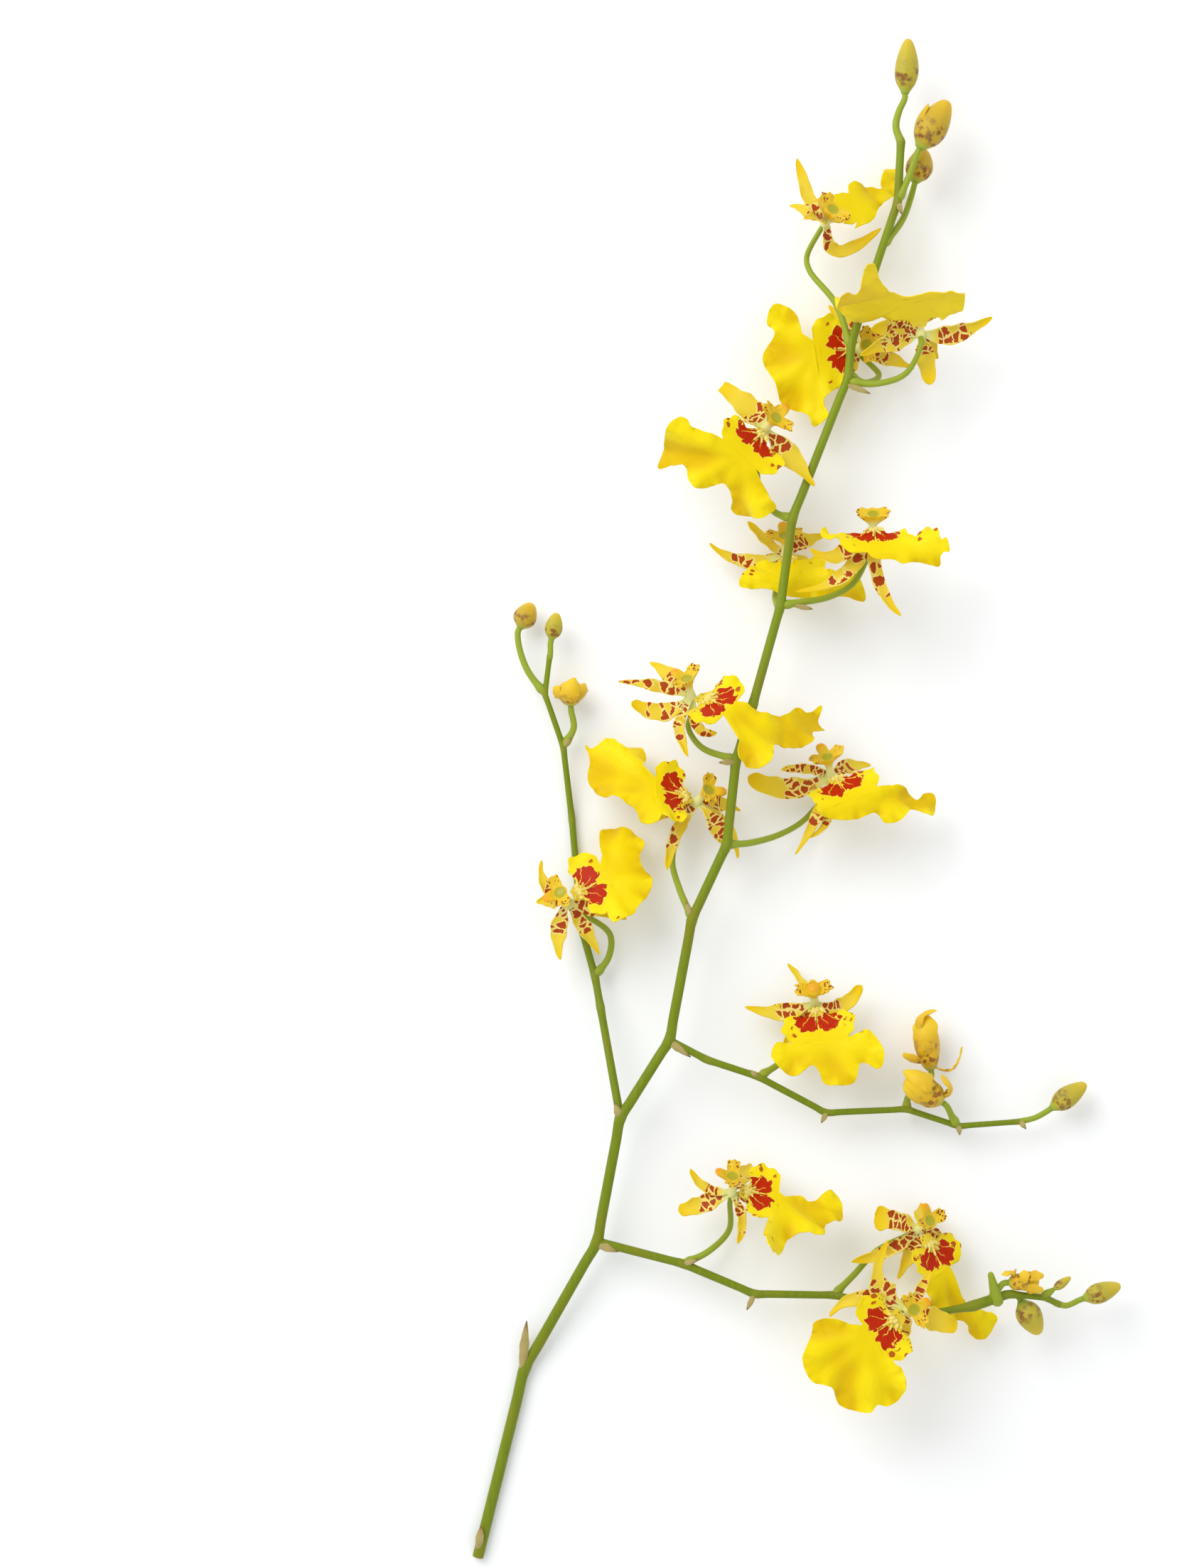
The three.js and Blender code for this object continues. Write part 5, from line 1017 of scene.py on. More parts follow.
# %% Making a tepal
TEPAL_LENGTH, TEPAL_WIDTH = 18.5, 5.2  # mm, where its data don't say otherwise
TEPAL_ROWS, TEPAL_COLUMNS = 34, 10
TEPAL_ARC = 34  # degrees, half the angle of a tepal's section
TEPAL_WAVE = 0.34  # mm, how high its edges wave
UPWARD = 0.8  # how much a tepal's face is turned up, where 1 would be halfway
BOW = 1.4  # mm that a tepal bows out to the bloom's face, halfway along
HOOK_FROM = 0.72  # share of its length from which a hooked tip bends aside
SHAPES = {  # widths along a tepal, as shares of its length and of its full width
    "pointed": [(0, 0.3), (0.12, 0.52), (0.26, 0.86), (0.4, 1.0), (0.54, 0.9), (0.68, 0.64),
                (0.8, 0.42), (0.92, 0.26), (0.98, 0.14), (1, 0.03)],
    "blunt": [(0, 0.3), (0.12, 0.44), (0.3, 0.8), (0.48, 1.0), (0.66, 0.92), (0.8, 0.76),
              (0.92, 0.64), (0.98, 0.4), (1, 0.1)],
    "cut": [(0, 0.4), (0.18, 0.86), (0.34, 1.0), (0.55, 0.86), (0.75, 0.62), (0.9, 0.52),
            (0.985, 0.46), (1, 0.2)],
    "even": [(0, 0.5), (0.15, 0.75), (0.35, 1.0), (0.6, 0.9), (0.8, 0.7), (0.93, 0.42), (1, 0.05)],
    "spoon": [(0, 0.26), (0.15, 0.3), (0.35, 0.5), (0.55, 0.92), (0.68, 1.0), (0.82, 0.8),
              (0.94, 0.6), (1, 0.1)],
    "tail": [(0, 0.28), (0.12, 0.4), (0.3, 0.72), (0.5, 0.8), (0.7, 0.78), (0.86, 1.0),
             (0.96, 0.86), (1, 0.3)],
    "spear": [(0, 0.28), (0.1, 0.36), (0.2, 0.72), (0.32, 1.0), (0.44, 0.86), (0.53, 0.52),
              (0.64, 0.36), (0.84, 0.27), (0.95, 0.14), (1, 0.03)]}


def shape_at(shape, t):
    """A profile's smooth width at shares of the length."""
    fine = through(np.array(shape, float), np.linspace(0, 1, 160))
    return np.interp(t, fine[:, 0], fine[:, 1])


def strip_along(points, runs, facing, widths, arc, wave, phase, roll=0.0, twist=0.0):
    """The place(across, along) of a strip that follows points: across from edge to edge, along to its tip.
    arc is half the angle of its section, roll turns all of it, and twist turns its tip more, in degrees."""
    rows = len(points)
    face = facing - (runs @ facing)[:, None] * runs
    face = face / np.linalg.norm(face, axis=1)[:, None]
    side = np.cross(runs, face)
    turn = np.radians(roll + twist * np.linspace(-0.3, 1, rows))[:, None]
    side, face = side * np.cos(turn) + face * np.sin(turn), face * np.cos(turn) - side * np.sin(turn)
    size = widths / widths.max()

    def place(across, along):
        i = np.clip(np.rint(along * (rows - 1)).astype(int), 0, rows - 1)
        a = 2 * across - 1
        open_by = np.radians(arc) * (1 + 0.35 * np.sin(5 * along + phase))
        radius = widths[i] / (2 * open_by)
        lift = radius * (1 - np.cos(a * open_by)) - 0.3 * radius * (1 - np.cos(open_by))
        edge = np.abs(a) ** 3 * size[i]
        lift = lift + wave * edge * np.sin(17 * along + 2.2 * phase + np.where(a > 0, 0, 2.1))
        ruffle = 1 + 0.06 * np.sin(23 * along + phase + np.where(a > 0, 0, 1.3))
        out = radius * np.sin(a * open_by) * ruffle
        return points[i] + side[i] * out[:, None] + face[i] * lift[:, None]

    return place


def tepal_place(bloom, ways, tepal, phase, middle):
    """The place(across, along) of one tepal of a bloom whose middle is known."""
    share = np.linspace(0, 1, TEPAL_ROWS + 1)
    flat = np.array([*tepal["tip"], 0.0]) - [*bloom["centre"], 0.0]
    spare = math.sqrt(max(TEPAL_LENGTH ** 2 - flat @ flat, 0))
    tip = flat + [0, 0, tepal["rise"] * spare + tepal.get("lift", 0)]
    if "via" in tepal:
        half = np.array([*tepal["via"], tip[2] / 2]) - [*bloom["centre"], 0.0]
    else:
        half = tip / 2 + ways["face"] * BOW
    points, runs = bowed(unit(half), half, tip, share)
    # a strip's face is turned a little up, also on a bloom that is seen from behind
    along_face = abs(unit(tip) @ ways["face"]) > 0.9
    facing = ways["plate"] if along_face else ways["face"] * np.sign(ways["face"][2])
    facing = unit(facing + [0, 0, UPWARD])
    widths = shape_at(SHAPES[tepal.get("shape", "pointed")], share) * tepal.get("width", TEPAL_WIDTH)
    hook = tepal.get("hook", 0) * (np.clip(share - HOOK_FROM, 0, 1) / (1 - HOOK_FROM)) ** 1.5
    points = points + hook[:, None] * np.cross(runs, facing)
    roll = tepal.get("roll", 14 * math.sin(phase))
    twist = tepal.get("twist", 24 * math.sin(2.3 * phase))
    return strip_along(points + middle, runs, facing, widths, TEPAL_ARC, TEPAL_WAVE, phase, roll, twist)


widest, _ = max(SHAPES["pointed"], key=lambda place: place[1])
print("a pointed tepal is widest", round(widest * TEPAL_LENGTH, 1), "mm from its foot")

# %% [markdown]
# ## The skin of the tepals
# Tepals are paler than the lip, greenish at the foot, and blotched with red-brown over their lower half.
# The blotches are broad cells parted by thin cream lines, and toward the tip they drop out one by one. A
# Voronoi texture gives such cells: its colour picks the cells that are painted, and its distance to the
# edge leaves the cream lines between them. The grid's UV map runs across and along, so the cells follow the
# tepal.

# %% Tepal material
def tepal_skin():
    """Pale yellow petal with broad red-brown blotches parted by cream lines."""
    skin, add, shader = new_material("blotched tepal", Roughness=0.45, IOR=1.4, Specular_IOR_Level=0.14,
                                     Subsurface_Weight=0.1, Subsurface_Scale=0.0015)
    shader.inputs["Subsurface Radius"].default_value = (1.0, 0.7, 0.2)
    s, t = add("split", add("map", uv_map="UVMap"), out=("X", "Y"))
    solid = add("scale", add("place", out="Object"), 1 / MM)
    seed, bars, low, high = (add("number", attribute_name=what, out="Fac") for what in
                             ("seed", "bars", "low", "high"))
    out = add("size", add("minus", s, 0.5))
    colour = add("mix", add("noise", solid, 0.12, 3), paint("#dec02a"), paint("#e6ce48"))
    colour = add("mix", add("ramp", t, 0.24, 0.04), colour, paint("#dcdc8c"))
    colour = add("mix", add("ramp", t, 0.6, 1.0), colour, paint("#e4c010"))
    wobble = add("minus", add("noise", solid, 0.55, 3, 0.6), 0.5)
    across = add("plus", add("times", s, bars), add("times", wobble, 0.7))
    along = add("plus", add("times", t, 9.2), add("times", wobble, 1.1))
    where = add("join", across, add("plus", along, seed))
    colours = add("cells", where, 1.0, voronoi_dimensions="2D", out="Color")
    gap = add("cells", where, 1.0, voronoi_dimensions="2D", feature="DISTANCE_TO_EDGE")
    pick = add("split", colours)
    # how far out of the blotched stretch, from low to high, a place is
    past = add("times", add("minus", t, high), 7.0)
    before = add("times", add("minus", low, t), 9.0)
    drop = add("larger", add("larger", past, before), 0.0)
    kept = add("ramp", add("minus", pick, drop), 0.26, 0.3)
    rim = add("times", add("ramp", out, 0.38, 0.5), 0.12)
    limit = add("plus", add("plus", 0.1, rim), add("times", wobble, 0.3))
    fill = add("times", add("ramp", add("minus", gap, limit), 0.0, 0.045), kept)
    near = add("times", add("times", kept, add("ramp", gap, 0.16, 0.06)), 0.6)
    colour = add("mix", near, colour, paint("#eee29a"))
    brown = add("mix", add("noise", solid, 0.7, 2), paint("#983410"), paint("#b24e1a"))
    brown = add("mix", add("ramp", gap, 0.2, 0.1), brown, paint("#b2521e"))
    colour = add("mix", fill, colour, brown)
    vein = add("sine", add("times", s, 56.0))
    grain = add("plus", add("times", vein, 0.07), add("noise", solid, 2.4, 3))
    rough = add("plus", add("times", fill, -0.1), 0.46)
    finish_material(shader, colour, rough, grain, 0.12, 0.4)
    return skin


TEPAL_SKIN = tepal_skin()

# %% All the tepals
MARKS = (0.1, 0.46)  # the blotched stretch, from and to, as shares of the length
CELLS = 0.28  # blotches side by side, for each mm of a tepal's width
for i, (name, bloom) in enumerate(BLOOMS.items()):
    ways = bloom_ways(bloom)
    blades = []
    for k, tepal in enumerate(bloom["tepals"]):
        place = tepal_place(bloom, ways, tepal, WAVES[name] + 1.7 * k, STAND[name])
        blade = lay_flat(f"tepal_{name}_{k}", TEPAL_COLUMNS, TEPAL_ROWS, place)
        low, high = tepal.get("marks", MARKS)
        add_values(blade.data, "seed", 87.0 * i + 17.3 * k)  # a part of the texture for each tepal
        add_values(blade.data, "bars", tepal.get("width", TEPAL_WIDTH) * CELLS)
        add_values(blade.data, "low", low)
        add_values(blade.data, "high", high)
        blades.append(thicken(blade, BLADE))
    finish_piece(join_pieces(f"tepals_{name}", blades), TEPAL_SKIN, "sepal", f"bloom_{name}_sepals")
print("tepals:", sum(len(b["tepals"]) for b in BLOOMS.values()))

# %% [markdown]
# ## The column
# In an orchid stamen and style are one body, the column. It stands in the middle of the bloom on a pale
# neck and opens like a small flower of its own: two waved wings dotted with brown, a longer orange hood
# over the anther, and in the middle the stigma, a round olive eye in a yellow ring. It is one roll, whose
# rings are round at the neck and reach out into three lobes at the top, so that wings, hood and eye are one
# closed body.

# %% Making a column
HEART = 1.5  # mm from the bloom's middle back to where the pedicel ends
HOOD_REACH, WING_REACH, SIDE_REACH = 5.1, 5.2, 2.0  # mm from the column's line to the edge of each lobe
WING_AT = 1.55  # radians from the hood to the middle of a wing
COLUMN_RINGS = [  # height, round radius, share of the way out to the lobes' edge, lean to the hood's side
    (-1.5, 0, 0, 0), (-1.4, 0.7, 0, 0), (-0.9, 1.25, 0, 0), (0, 1.45, 0, 0), (1.2, 1.2, 0, 0.05),
    (2.8, 1.02, 0, 0.15), (4.2, 1.15, 0, 0.3), (5.0, 1.5, 0.14, 0.45), (5.6, 1.7, 0.42, 0.5),
    (6.1, 1.8, 0.74, 0.5), (6.45, 1.8, 0.95, 0.5), (6.7, 1.8, 1.0, 0.5), (6.9, 1.8, 0.95, 0.5),
    (6.85, 1.85, 0.74, 0.5), (6.75, 1.9, 0.46, 0.5), (6.75, 2.0, 0.2, 0.5), (6.8, 2.1, 0.04, 0.5),
    (6.8, 2.0, 0, 0.5), (6.7, 1.8, 0, 0.5), (6.55, 1.5, 0, 0.5), (6.45, 1.2, 0, 0.5), (6.4, 0.7, 0, 0.5),
    (6.4, 0.3, 0, 0.5), (6.4, 0, 0, 0.5)]
RIPE_CAPS = ("b1",)  # here a golden anther cap still covers the eye
FANS = {"m2": (0.88, 0.64), "t4": (1, 1)}  # here the wings run down the neck, like a fan: its width, height
TOP_RING, CAP_RING = 12, 16  # the first rings of the column's top and of the cap


def column_place(ways, middle, phase, ripe, fan):
    """The place(angle, along) of a column. The angle is measured from the side away from its hood."""
    rings = np.array(COLUMN_RINGS)
    count = len(rings) - 1
    broad, tall = fan or (1, 1)

    def place(angle, along):
        i = np.clip(np.rint(along * count).astype(int), 0, count)
        height, round_by, share, lean = rings[i].T
        theta = angle - np.pi
        hood = np.exp(-(np.abs(theta / 0.52) ** 3)) * (0.35 if ripe or fan else 1)
        wing = np.exp(-(((np.abs(theta) - WING_AT) / (0.72 if ripe else 0.9 if fan else 0.62)) ** 4))
        ruffle = 1 + 0.07 * np.sin(11 * theta + phase) + 0.06 * np.sin(19 * theta + 2 * phase)
        reach = SIDE_REACH + (HOOD_REACH - SIDE_REACH) * hood + (WING_REACH * ruffle - SIDE_REACH) * wing
        if fan:
            share = np.maximum(share, (i < TOP_RING) * np.clip((height - 1.4) / 5.3, 0, 1))
        radius = round_by + share * np.maximum(reach - round_by, 0)
        top = (i >= TOP_RING) * np.sin(np.pi * share) * 0.7 * hood
        height = height + share * (1.0 * hood + 1.1 * wing + 0.35 * wing * np.sin(9 * theta + phase)) + top
        if ripe:
            dome = 6.3 + 2.0 * np.sqrt(np.clip(1 - (round_by / 2.15) ** 2, 0, 1))
            height = np.where(i >= CAP_RING, dome, height)
        x = broad * radius * np.sin(theta)
        y = broad * (radius * np.cos(theta) + lean)
        height = tall * height
        flat = x[:, None] * ways["across"] - y[:, None] * ways["plate"]
        return middle + (flat + height[:, None] * ways["face"])

    return place


print("across its wings a column is", round(2 * WING_REACH, 1), "mm wide")

# %% Column material
COLUMN_SPAN = 20.0  # mm that the column's own UV map covers
EYE_SHIFT = 0.5  # mm from the column's line to the middle of its eye, toward the hood


def column_skin():
    """Waxy column: pale neck, dotted yellow wings, orange hood and an olive eye."""
    skin, add, shader = new_material("dotted waxy column", Roughness=0.38, IOR=1.42, Specular_IOR_Level=0.35,
                                     Subsurface_Weight=0.1, Subsurface_Scale=0.001)
    flat = add("scale", add("shift", add("map", uv_map="front"), (0.5, 0.5, 0)), COLUMN_SPAN)
    solid = add("scale", add("place", out="Object"), 1 / MM)
    x, y = add("split", flat, out=("X", "Y"))
    reach = add("length", flat)
    tall, ripe = (add("number", attribute_name=what, out="Fac") for what in ("tall", "ripe"))
    colour = add("mix", add("noise", solid, 0.3, 2), paint("#dcb010"), paint("#e6c628"))
    colour = add("mix", add("ramp", tall, 5.4, 2.6), colour, paint("#e2e094"))
    hood = add("times", add("ramp", y, 2.6, 4.6), add("ramp", add("size", x), 3.0, 2.2))
    colour = add("mix", add("times", hood, 0.7), colour, paint("#ea9008"))
    # dots in rows along the wings, smaller toward the middle
    cells = add("cells", solid, 1.2)
    high = add("times", add("ramp", y, 2.4, 1.4), add("ramp", tall, 5.2, 5.8))
    wings = add("times", add("ramp", reach, 2.5, 3.3), high)
    size = add("times", wings, add("times", add("noise", solid, 0.8, 2), 0.66))
    dots = add("ramp", add("minus", cells, size), 0.03, -0.03)
    dots = add("times", dots, add("ramp", wings, 0.2, 0.5))
    colour = add("mix", dots, colour, paint("#8c3c10"))
    eye = add("times", add("ramp", reach, 1.95, 1.35), add("ramp", tall, 5.2, 5.6))
    olive = add("mix", add("noise", solid, 0.9, 2), paint("#a09c18"), paint("#b8b02c"))
    olive = add("mix", ripe, olive, paint("#e2a41a"))
    colour = add("mix", eye, colour, olive)
    rough = add("minus", 0.42, add("times", eye, 0.22))
    finish_material(shader, colour, rough, add("noise", solid, 2.0, 3), 0.1, 0.35)
    return skin


COLUMN_SKIN = column_skin()

# %% All the columns
for name, bloom in BLOOMS.items():
    ways = bloom_ways(bloom)
    column = roll_up(f"column_{name}", 72, len(COLUMN_RINGS) - 1,
                     column_place(ways, STAND[name], WAVES[name], name in RIPE_CAPS, FANS.get(name)))
    co = places_of(column.data) / MM + MIDDLE - STAND[name]
    seen = np.stack([co @ ways["across"], -EYE_SHIFT - co @ ways["plate"]], 1)
    add_map(column.data, "front", seen, COLUMN_SPAN)
    add_values(column.data, "tall", co @ ways["face"] / FANS.get(name, (1, 1))[1])
    add_values(column.data, "ripe", float(name in RIPE_CAPS))
    finish_piece(column, COLUMN_SKIN, "sepal", f"bloom_{name}_sepals")
print("columns:", len(BLOOMS), "with", len(column.data.polygons), "faces each")

# %% [markdown]
# ## Stem, branches and pedicels
# The stem runs nearly straight from node to node and turns a little at each. Three side branches leave it
# low down, and every bloom and bud hangs on a thin pedicel of its own. Each is a roll along its curve, a
# bit swollen at the nodes and thinner toward its end. All of them grew as one, so they are joined to one
# piece.

# %% Making the stem
NODE_REACH = 0.18  # share of the way to the next node over which the stem still turns
NODE_SWELL = 0.16  # how much thicker it is at a node
STOUT, STOUT_REACH = 0.6, 7.5  # mm more radius where a branch is stout, and how far along it
STEP, FINE_STEP = 1.6, 0.8  # mm between the rings of a stem and of a pedicel
STEM_SIDES, BRANCH_SIDES, PEDICEL_SIDES = 14, 12, 10
PEDICEL_FOOT = 1.0  # mm, a pedicel's radius at the stem's side
PEDICEL_ENDS = {  # mm that it runs straight to what it carries, and its radius there
    "bloom": (3.0, 0.72), "bud": (1.4, 0.85), "small": (1.4, 0.62)}
TIP_REACH = 1.5  # mm; a pedicel that starts this near a stem's tip goes on from it
FAR = 99.0  # mm, more than any distance that matters, for a shaft without nodes


def jointed(nodes):
    """A stem's nodes with a place at each side of every node, so that it turns there and not between."""
    nodes = np.asarray(nodes, float)
    places = []
    for i, node in enumerate(nodes):
        if i:
            places.append(node + (nodes[i - 1] - node) * NODE_REACH)
        places.append(node)
        if i + 1 < len(nodes):
            places.append(node + (nodes[i + 1] - node) * NODE_REACH)
    return np.array(places)


def node_distance(points, nodes):
    """How far each point is from the nearest node."""
    return np.array([min([np.linalg.norm(p - n) for n in nodes] or [FAR]) for p in points])


def shaft(name, line, radii, nodes, sides):
    """A closed round shaft along a line. It keeps two numbers for its skin: joint is 1 at a node and less
    beside it, and young is 1 on a pedicel and on the stub."""
    rows = len(line)
    runs = np.gradient(line, axis=0)
    runs = runs / np.linalg.norm(runs, axis=1)[:, None]
    ups, up = [], np.array([0, 0, 1.0])
    for run in runs:
        up = unit(up - up @ run * run)
        ups.append(up)
    ups = np.array(ups)
    sides_way = np.cross(runs, ups)
    swell = radii * (1 + NODE_SWELL * np.exp(-((node_distance(line, nodes) / 1.6) ** 2)))
    swell[0] = swell[-1] = 0

    def place(angle, along):
        i = np.clip(np.rint(along * (rows - 1)).astype(int), 0, rows - 1)
        return line[i] + swell[i][:, None] * (np.cos(angle)[:, None] * sides_way[i]
                                               + np.sin(angle)[:, None] * ups[i])

    made = roll_up(name, sides, rows - 1, place)
    away = node_distance(places_of(made.data) / MM + MIDDLE, nodes)
    add_values(made.data, "joint", np.exp(-((away / 2.2) ** 2)))
    add_values(made.data, "young", float(len(nodes) < 2))
    return made


def end_rows(at, out, radius, ball):
    """A shaft's last places and radii, from its tip inward: a half ball, or a flat end with a soft edge."""
    if ball:
        return [(at + out * radius * math.sin(a), radius * math.cos(a)) for a in (1.57, 1.1, 0.6, 0)]
    return [(at, radius), (at - out * 0.02, radius * 0.8), (at - out * 0.2, radius)]


def capped(line, radii, first_ball, last_ball):
    """The line and its radii with an end to each side. A ball fills the corner where two shafts meet."""
    rows = end_rows(line[0], unit(line[0] - line[1]), radii[0], first_ball)
    rows += list(zip(line[1:-1], radii[1:-1]))
    rows += end_rows(line[-1], unit(line[-1] - line[-2]), radii[-1], last_ball)[::-1]
    return np.array([place for place, _ in rows]), np.array([radius for _, radius in rows])


shafts = []
for k, axis in enumerate(AXES):
    line = evenly(through(jointed(axis["route"]), np.linspace(0, 1, 30 * len(axis["route"]))), STEP)
    radii = np.linspace(*axis["radius"], len(line))
    if "stout" in axis:  # a young branch is stout where it bore its last flower
        away = np.linalg.norm(line - axis["stout"], axis=1)
        radii = radii + STOUT * np.exp(-((away / STOUT_REACH) ** 2))
    line, radii = capped(line, radii, k > 0, True)
    nodes = np.array(axis["route"], float)[1:]
    shafts.append(shaft(f"axis_{k}", line, radii, nodes, BRANCH_SIDES if k else STEM_SIDES))
stub = np.linspace(STUB["foot"], STUB["tip"], 8)
shafts.append(shaft("stub", *capped(stub, np.linspace(*STUB["radius"], 8), True, True), [], PEDICEL_SIDES))


def pedicel(name, stalk, foot, way, straight, thin):
    """Flared where it leaves a stem's side, but not where it goes on from its tip. straight is how far it
    runs on in its bloom's own direction, and thin its radius where it ends."""
    end = foot + way * 0.3
    places = np.vstack([stalk, end - way * straight, end])
    line = evenly(through(places, np.linspace(0, 1, 120)), FINE_STEP)
    run = FINE_STEP * np.arange(len(line))
    flare = 0.32 * np.exp(-(((run - 2.0) / 1.3) ** 2)) - 0.35 * np.exp(-((run / 0.8) ** 2))
    tips = [(np.linalg.norm(np.subtract(stalk[0], axis["route"][-1])), axis["radius"][1]) for axis in AXES]
    away, tip = min(tips)
    if away < TIP_REACH:
        radii = np.linspace(tip, thin, len(line))
    else:
        radii = np.linspace(PEDICEL_FOOT, thin, len(line)) + flare
    line, radii = capped(line, radii, True, False)
    return shaft(name, line, radii, np.array(stalk[:1], float), PEDICEL_SIDES)


for name, bloom in BLOOMS.items():
    face = bloom_ways(bloom)["face"]
    foot = STAND[name] - face * HEART
    shafts.append(pedicel(f"pedicel_{name}", bloom["stalk"], foot, face, *PEDICEL_ENDS["bloom"]))
for name, bud in BUDS.items():
    way = unit(np.array(bud["head"]) - np.array(bud["foot"]))
    ends = PEDICEL_ENDS["small" if bud["colour"] == "stem" else "bud"]
    shafts.append(pedicel(f"pedicel_{name}", bud["stalk"], np.array(bud["foot"], float), way, *ends))
print("shafts:", len(shafts))

# %% Stem material
def stem_skin():
    """Smooth living green stem, yellower toward the tip, brown-tinged and ringed at its nodes."""
    skin, add, shader = new_material("living green stem", Roughness=0.42, IOR=1.42, Specular_IOR_Level=0.3,
                                     Subsurface_Weight=0.08, Subsurface_Scale=0.001)
    solid = add("scale", add("place", out="Object"), 1 / MM)
    y = add("split", solid, out="Y")
    streak = add("noise", add("stretch", solid, Scale=(1.4, 0.09, 1.4)), 1.0, 3)  # drawn out along the stem
    colour = add("mix", add("ramp", y, -150, 200), paint("#5c7204"), paint("#748a10"))
    colour = add("mix", add("times", streak, 0.8), colour, paint("#8a9614"))
    colour = add("mix", add("ramp", add("noise", solid, 0.05, 2), 0.5, 0.75), colour, paint("#7c8210"))
    young, joint = (add("number", attribute_name=what, out="Fac") for what in ("young", "joint"))
    colour = add("mix", add("times", young, 0.7), colour, paint("#9cac34"))
    colour = add("mix", add("times", add("ramp", joint, 0.3, 1.0), 0.4), colour, paint("#989438"))
    ring = add("times", add("ramp", joint, 0.88, 0.93), add("ramp", joint, 1.0, 0.97))
    colour = add("mix", add("times", ring, 0.3), colour, paint("#7d7a30"))
    grain = add("plus", streak, add("noise", solid, 2.2, 3))
    rough = add("plus", add("times", streak, 0.15), 0.34)
    finish_material(shader, colour, rough, grain, 0.1, 0.4)
    return skin


STEM_SKIN = stem_skin()
stem = finish_piece(join_pieces("stem", shafts), STEM_SKIN, "stem", "flower_stem")
print("stem:", len(stem.data.polygons), "faces")

# %% [markdown]
# ## Dry bracts
# At each node sits a small pointed leaf, dry and papery by the time the blooms open. It clasps the stem at
# its foot and stands off at its tip, so it is a short strip that is hollowed toward the stem.

# %% Bracts
BRACT_SHAPE = [(0, 0.6), (0.2, 0.85), (0.45, 1.0), (0.7, 0.72), (0.88, 0.34), (1, 0.05)]
BRACT_ROWS, BRACT_COLUMNS = 12, 6
BRACT_ARC = -50  # degrees; below 0 its hollow side is turned to the stem
BRACT_THICKNESS = 0.25


def bract_skin():
    """Papery straw-coloured scale with darker veins and a brown tip."""
    skin, add, shader = new_material("dry papery bract", Roughness=0.75)
    s, t = add("split", add("map", uv_map="UVMap"), out=("X", "Y"))
    solid = add("scale", add("place", out="Object"), 1 / MM)
    colour = add("mix", add("noise", solid, 0.5, 3), paint("#a8924e"), paint("#c6b678"))
    vein = add("sine", add("times", s, 60.0))
    colour = add("mix", add("times", add("ramp", vein, 0.4, 1.0), 0.4), colour, paint("#94803e"))
    colour = add("mix", add("ramp", t, 0.75, 1.0), colour, paint("#8a6232"))
    finish_material(shader, colour, None, vein, 0.1, 0.5)
    return skin


BRACT_SKIN = bract_skin()
scales = []
for k, (foot, tip, width) in enumerate(BRACTS):
    half = (np.array(foot, float) + np.array(tip, float)) / 2 + [0, 0, 0.8]
    share = np.linspace(0, 1, BRACT_ROWS + 1)
    points, runs = bowed(foot, half, tip, share)
    widths = shape_at(BRACT_SHAPE, share) * width * 0.8
    place = strip_along(points, runs, np.array([0, 0, 1.0]), widths, BRACT_ARC, 0.12, k)
    scales.append(thicken(lay_flat(f"bract_{k}", BRACT_COLUMNS, BRACT_ROWS, place), BRACT_THICKNESS))
finish_piece(join_pieces("bracts", scales), BRACT_SKIN, "stem", "flower_stem")
print("bracts:", len(BRACTS))

# %% [markdown]
# ## Buds
# A closed bud grows straight out of its pedicel: green at the foot, widest below its middle, with a blunt
# tip and three shallow seams where the outer sepals meet. A flower that is just opening is a fuller, golden
# bundle of petals that still wrap one another. Each is a roll, its seams a small formula of the angle, and
# the petals that already come loose are the same strips as the open bloom's, bent round the bundle.

# %% Making the buds
CLOSED = [(0, 0.3), (0.04, 0.36), (0.11, 0.54), (0.21, 0.82), (0.34, 0.98), (0.46, 1.0), (0.62, 0.9),
          (0.76, 0.73), (0.88, 0.53), (0.96, 0.32), (1, 0.1)]
OPENING = [(0, 0.2), (0.04, 0.36), (0.12, 0.64), (0.25, 0.86), (0.45, 0.96), (0.62, 1.0), (0.78, 0.95),
           (0.9, 0.74), (0.97, 0.42), (1, 0.03)]
LOOSE = [(0, 0.5), (0.2, 0.85), (0.5, 1.0), (0.8, 0.92), (0.94, 0.6), (1, 0.15)]
BUD_RINGS, BUD_SIDES = 34, 36
SEAM_DEPTH, OPEN_SEAM_DEPTH = 0.07, 0.16  # of the seams, as shares of the radius
LOOSE_ROWS, LOOSE_COLUMNS = 22, 10
LOOSE_ARCS = [(6, -66), (3, -50), (0, -30)]  # over this many mm of width: half the angle of its section
LOOSE_THICKNESS = 0.35


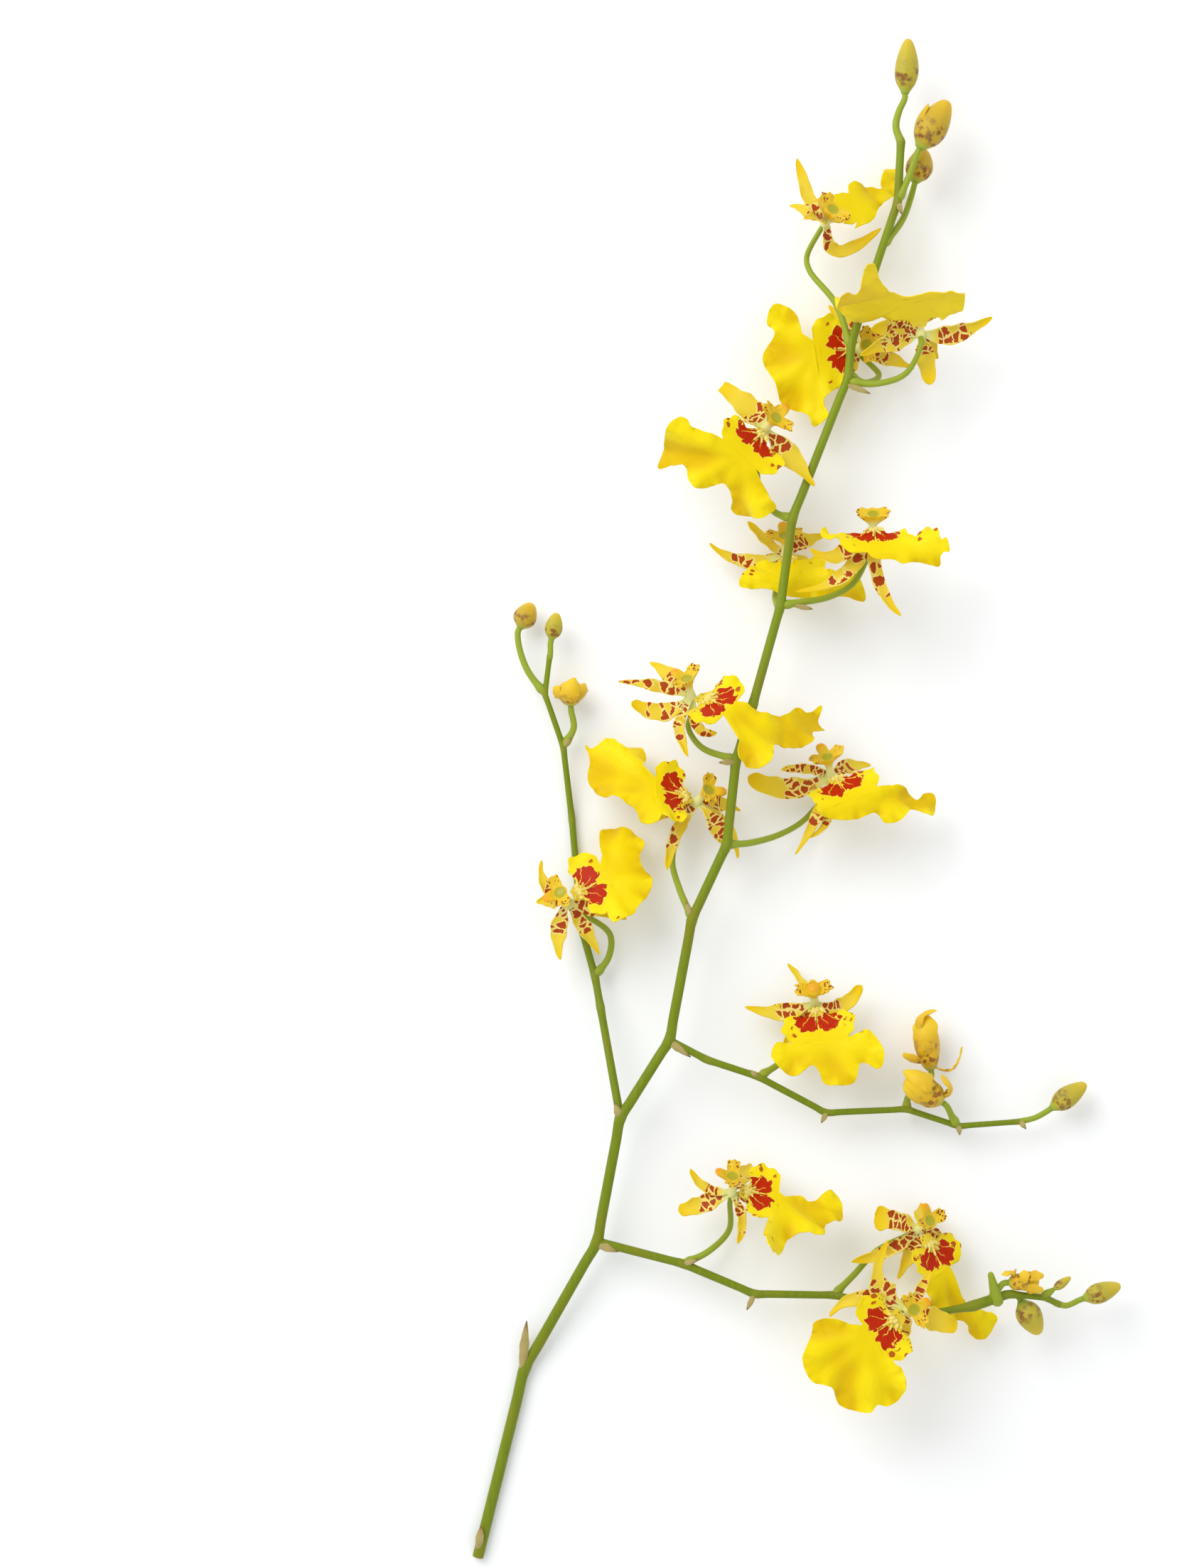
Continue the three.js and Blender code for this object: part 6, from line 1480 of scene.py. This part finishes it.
def bud_place(bud, phase, opening):
    """The place(angle, along) of a bud from its foot to its head."""
    foot, head = np.array(bud["foot"], float), np.array(bud["head"], float)
    way = unit(head - foot)
    up = unit(np.array([0, 0, 1.0]) - way[2] * way)
    side = np.cross(way, up)
    share = np.linspace(0, 1, BUD_RINGS + 1)
    share = share * 0.7 + (1 - np.cos(np.pi * share)) / 2 * 0.3  # rings stand closer at both ends
    sizes = shape_at(OPENING if opening else CLOSED, share) * bud["width"] / 2
    sizes[0] = sizes[-1] = 0

    def place(angle, along):
        i = np.clip(np.rint(along * BUD_RINGS).astype(int), 0, BUD_RINGS)
        swirl = angle + phase + (0.5 * share[i] if opening else 0)
        seam = np.abs(np.sin(1.5 * swirl))
        deep = OPEN_SEAM_DEPTH if opening else SEAM_DEPTH
        size = sizes[i] * (1 - deep * np.exp(-((seam / 0.2) ** 2)) + 0.03 * np.cos(3 * swirl))
        if opening:
            size = size * (1 + 0.07 * np.sin(2 * angle + phase) + 0.05 * np.sin(9 * share[i] + 2 * swirl))
        bend = 0.05 * bud["width"] * np.sin(np.pi * share[i])
        centre = foot + (head - foot) * share[i][:, None] + up * bend[:, None]
        return centre + size[:, None] * (np.cos(angle)[:, None] * side + np.sin(angle)[:, None] * up)

    return place


widest, _ = max(CLOSED, key=lambda place: place[1])
print("a closed bud is widest", round(100 * widest), "% of the way up")

# %% Bud materials
def bud_skin(name, foot, low, high, tip, smudges, dots):
    """Firm bud skin: green foot, a base and a tip colour, soft brown smudges low down, a few dark dots."""
    skin, add, shader = new_material(name, Roughness=0.42, IOR=1.42, Specular_IOR_Level=0.3,
                                     Subsurface_Weight=0.1, Subsurface_Scale=0.0015)
    s, t = add("split", add("map", uv_map="UVMap"), out=("X", "Y"))
    solid = add("scale", add("place", out="Object"), 1 / MM)
    colour = add("mix", add("noise", solid, 0.22, 3), paint(low), paint(high))
    colour = add("mix", add("ramp", t, 0.5, 1.0), colour, paint(tip))
    zone = add("times", add("ramp", t, 0.1, 0.22), add("ramp", t, 0.6, 0.36))
    cloud = add("ramp", add("noise", solid, 0.5, 3, 0.55), 0.46, 0.64)
    cloud = add("times", add("times", cloud, zone), smudges)
    colour = add("mix", cloud, colour, paint("#7d5a3c"))
    # small dark dots, their size and their edges frayed by noise
    cells = add("cells", solid, 0.5)
    frayed = add("times", add("noise", solid, 0.9, 4, 0.6), 0.8)
    wide = add("minus", add("plus", frayed, add("noise", solid, 0.25, 2)), 0.55)
    speck = add("ramp", add("minus", cells, wide), 0.05, -0.05)
    speck = add("times", add("times", speck, zone), dots)
    colour = add("mix", speck, colour, paint("#84481a"))
    colour = add("mix", add("ramp", t, 0.2, 0.04), colour, paint(foot))
    vein = add("sine", add("times", s, 150.0))
    grain = add("plus", add("times", vein, 0.2), add("noise", solid, 2.0, 3))
    finish_material(shader, colour, None, grain, 0.1, 0.35)
    return skin


GREEN_BUD = bud_skin("firm green bud", "#9cae40", "#aea43a", "#c2b036", "#d2b832", 0.75, 0.75)
RIPE_BUD = bud_skin("golden ripe bud", "#a0ac40", "#b89a34", "#ccaa28", "#dcb41e", 0.8, 0.85)
OPENING_BUD = bud_skin("golden opening bud", "#b8b84a", "#d2a422", "#e6be28", "#eac62a", 0.6, 0.8)

# %% All the buds
BUD_SLOTS = {"green": "green_bud", "orange": "ripe_bud", "stem": "stem"}
for k, (name, bud) in enumerate(BUDS.items()):
    opening = name.startswith("opening")
    made = [roll_up(name + "_core", BUD_SIDES, BUD_RINGS, bud_place(bud, 1.1 * k, opening))]
    foot, head = np.array(bud["foot"], float), np.array(bud["head"], float)
    for j, (via, tip, width) in enumerate(bud.get("petals", [])):
        via, tip = np.array(via, float), np.array(tip, float)
        share = np.linspace(0, 1, LOOSE_ROWS + 1)
        points, runs = bowed(foot + (head - foot) * 0.16, via, tip, share)
        widths = shape_at(LOOSE, share) * width
        arc = next(arc for over, arc in LOOSE_ARCS if width > over)
        place = strip_along(points, runs, unit(via - (foot + head) / 2), widths, arc, 0.3, j)
        petal = lay_flat(f"{name}_petal_{j}", LOOSE_COLUMNS, LOOSE_ROWS, place)
        made.append(thicken(petal, LOOSE_THICKNESS))
    skin = OPENING_BUD if opening else RIPE_BUD if bud["colour"] == "orange" else GREEN_BUD
    finish_piece(join_pieces("piece_" + name, made), skin, BUD_SLOTS[bud["colour"]], name)
print("buds:", len(BUDS))
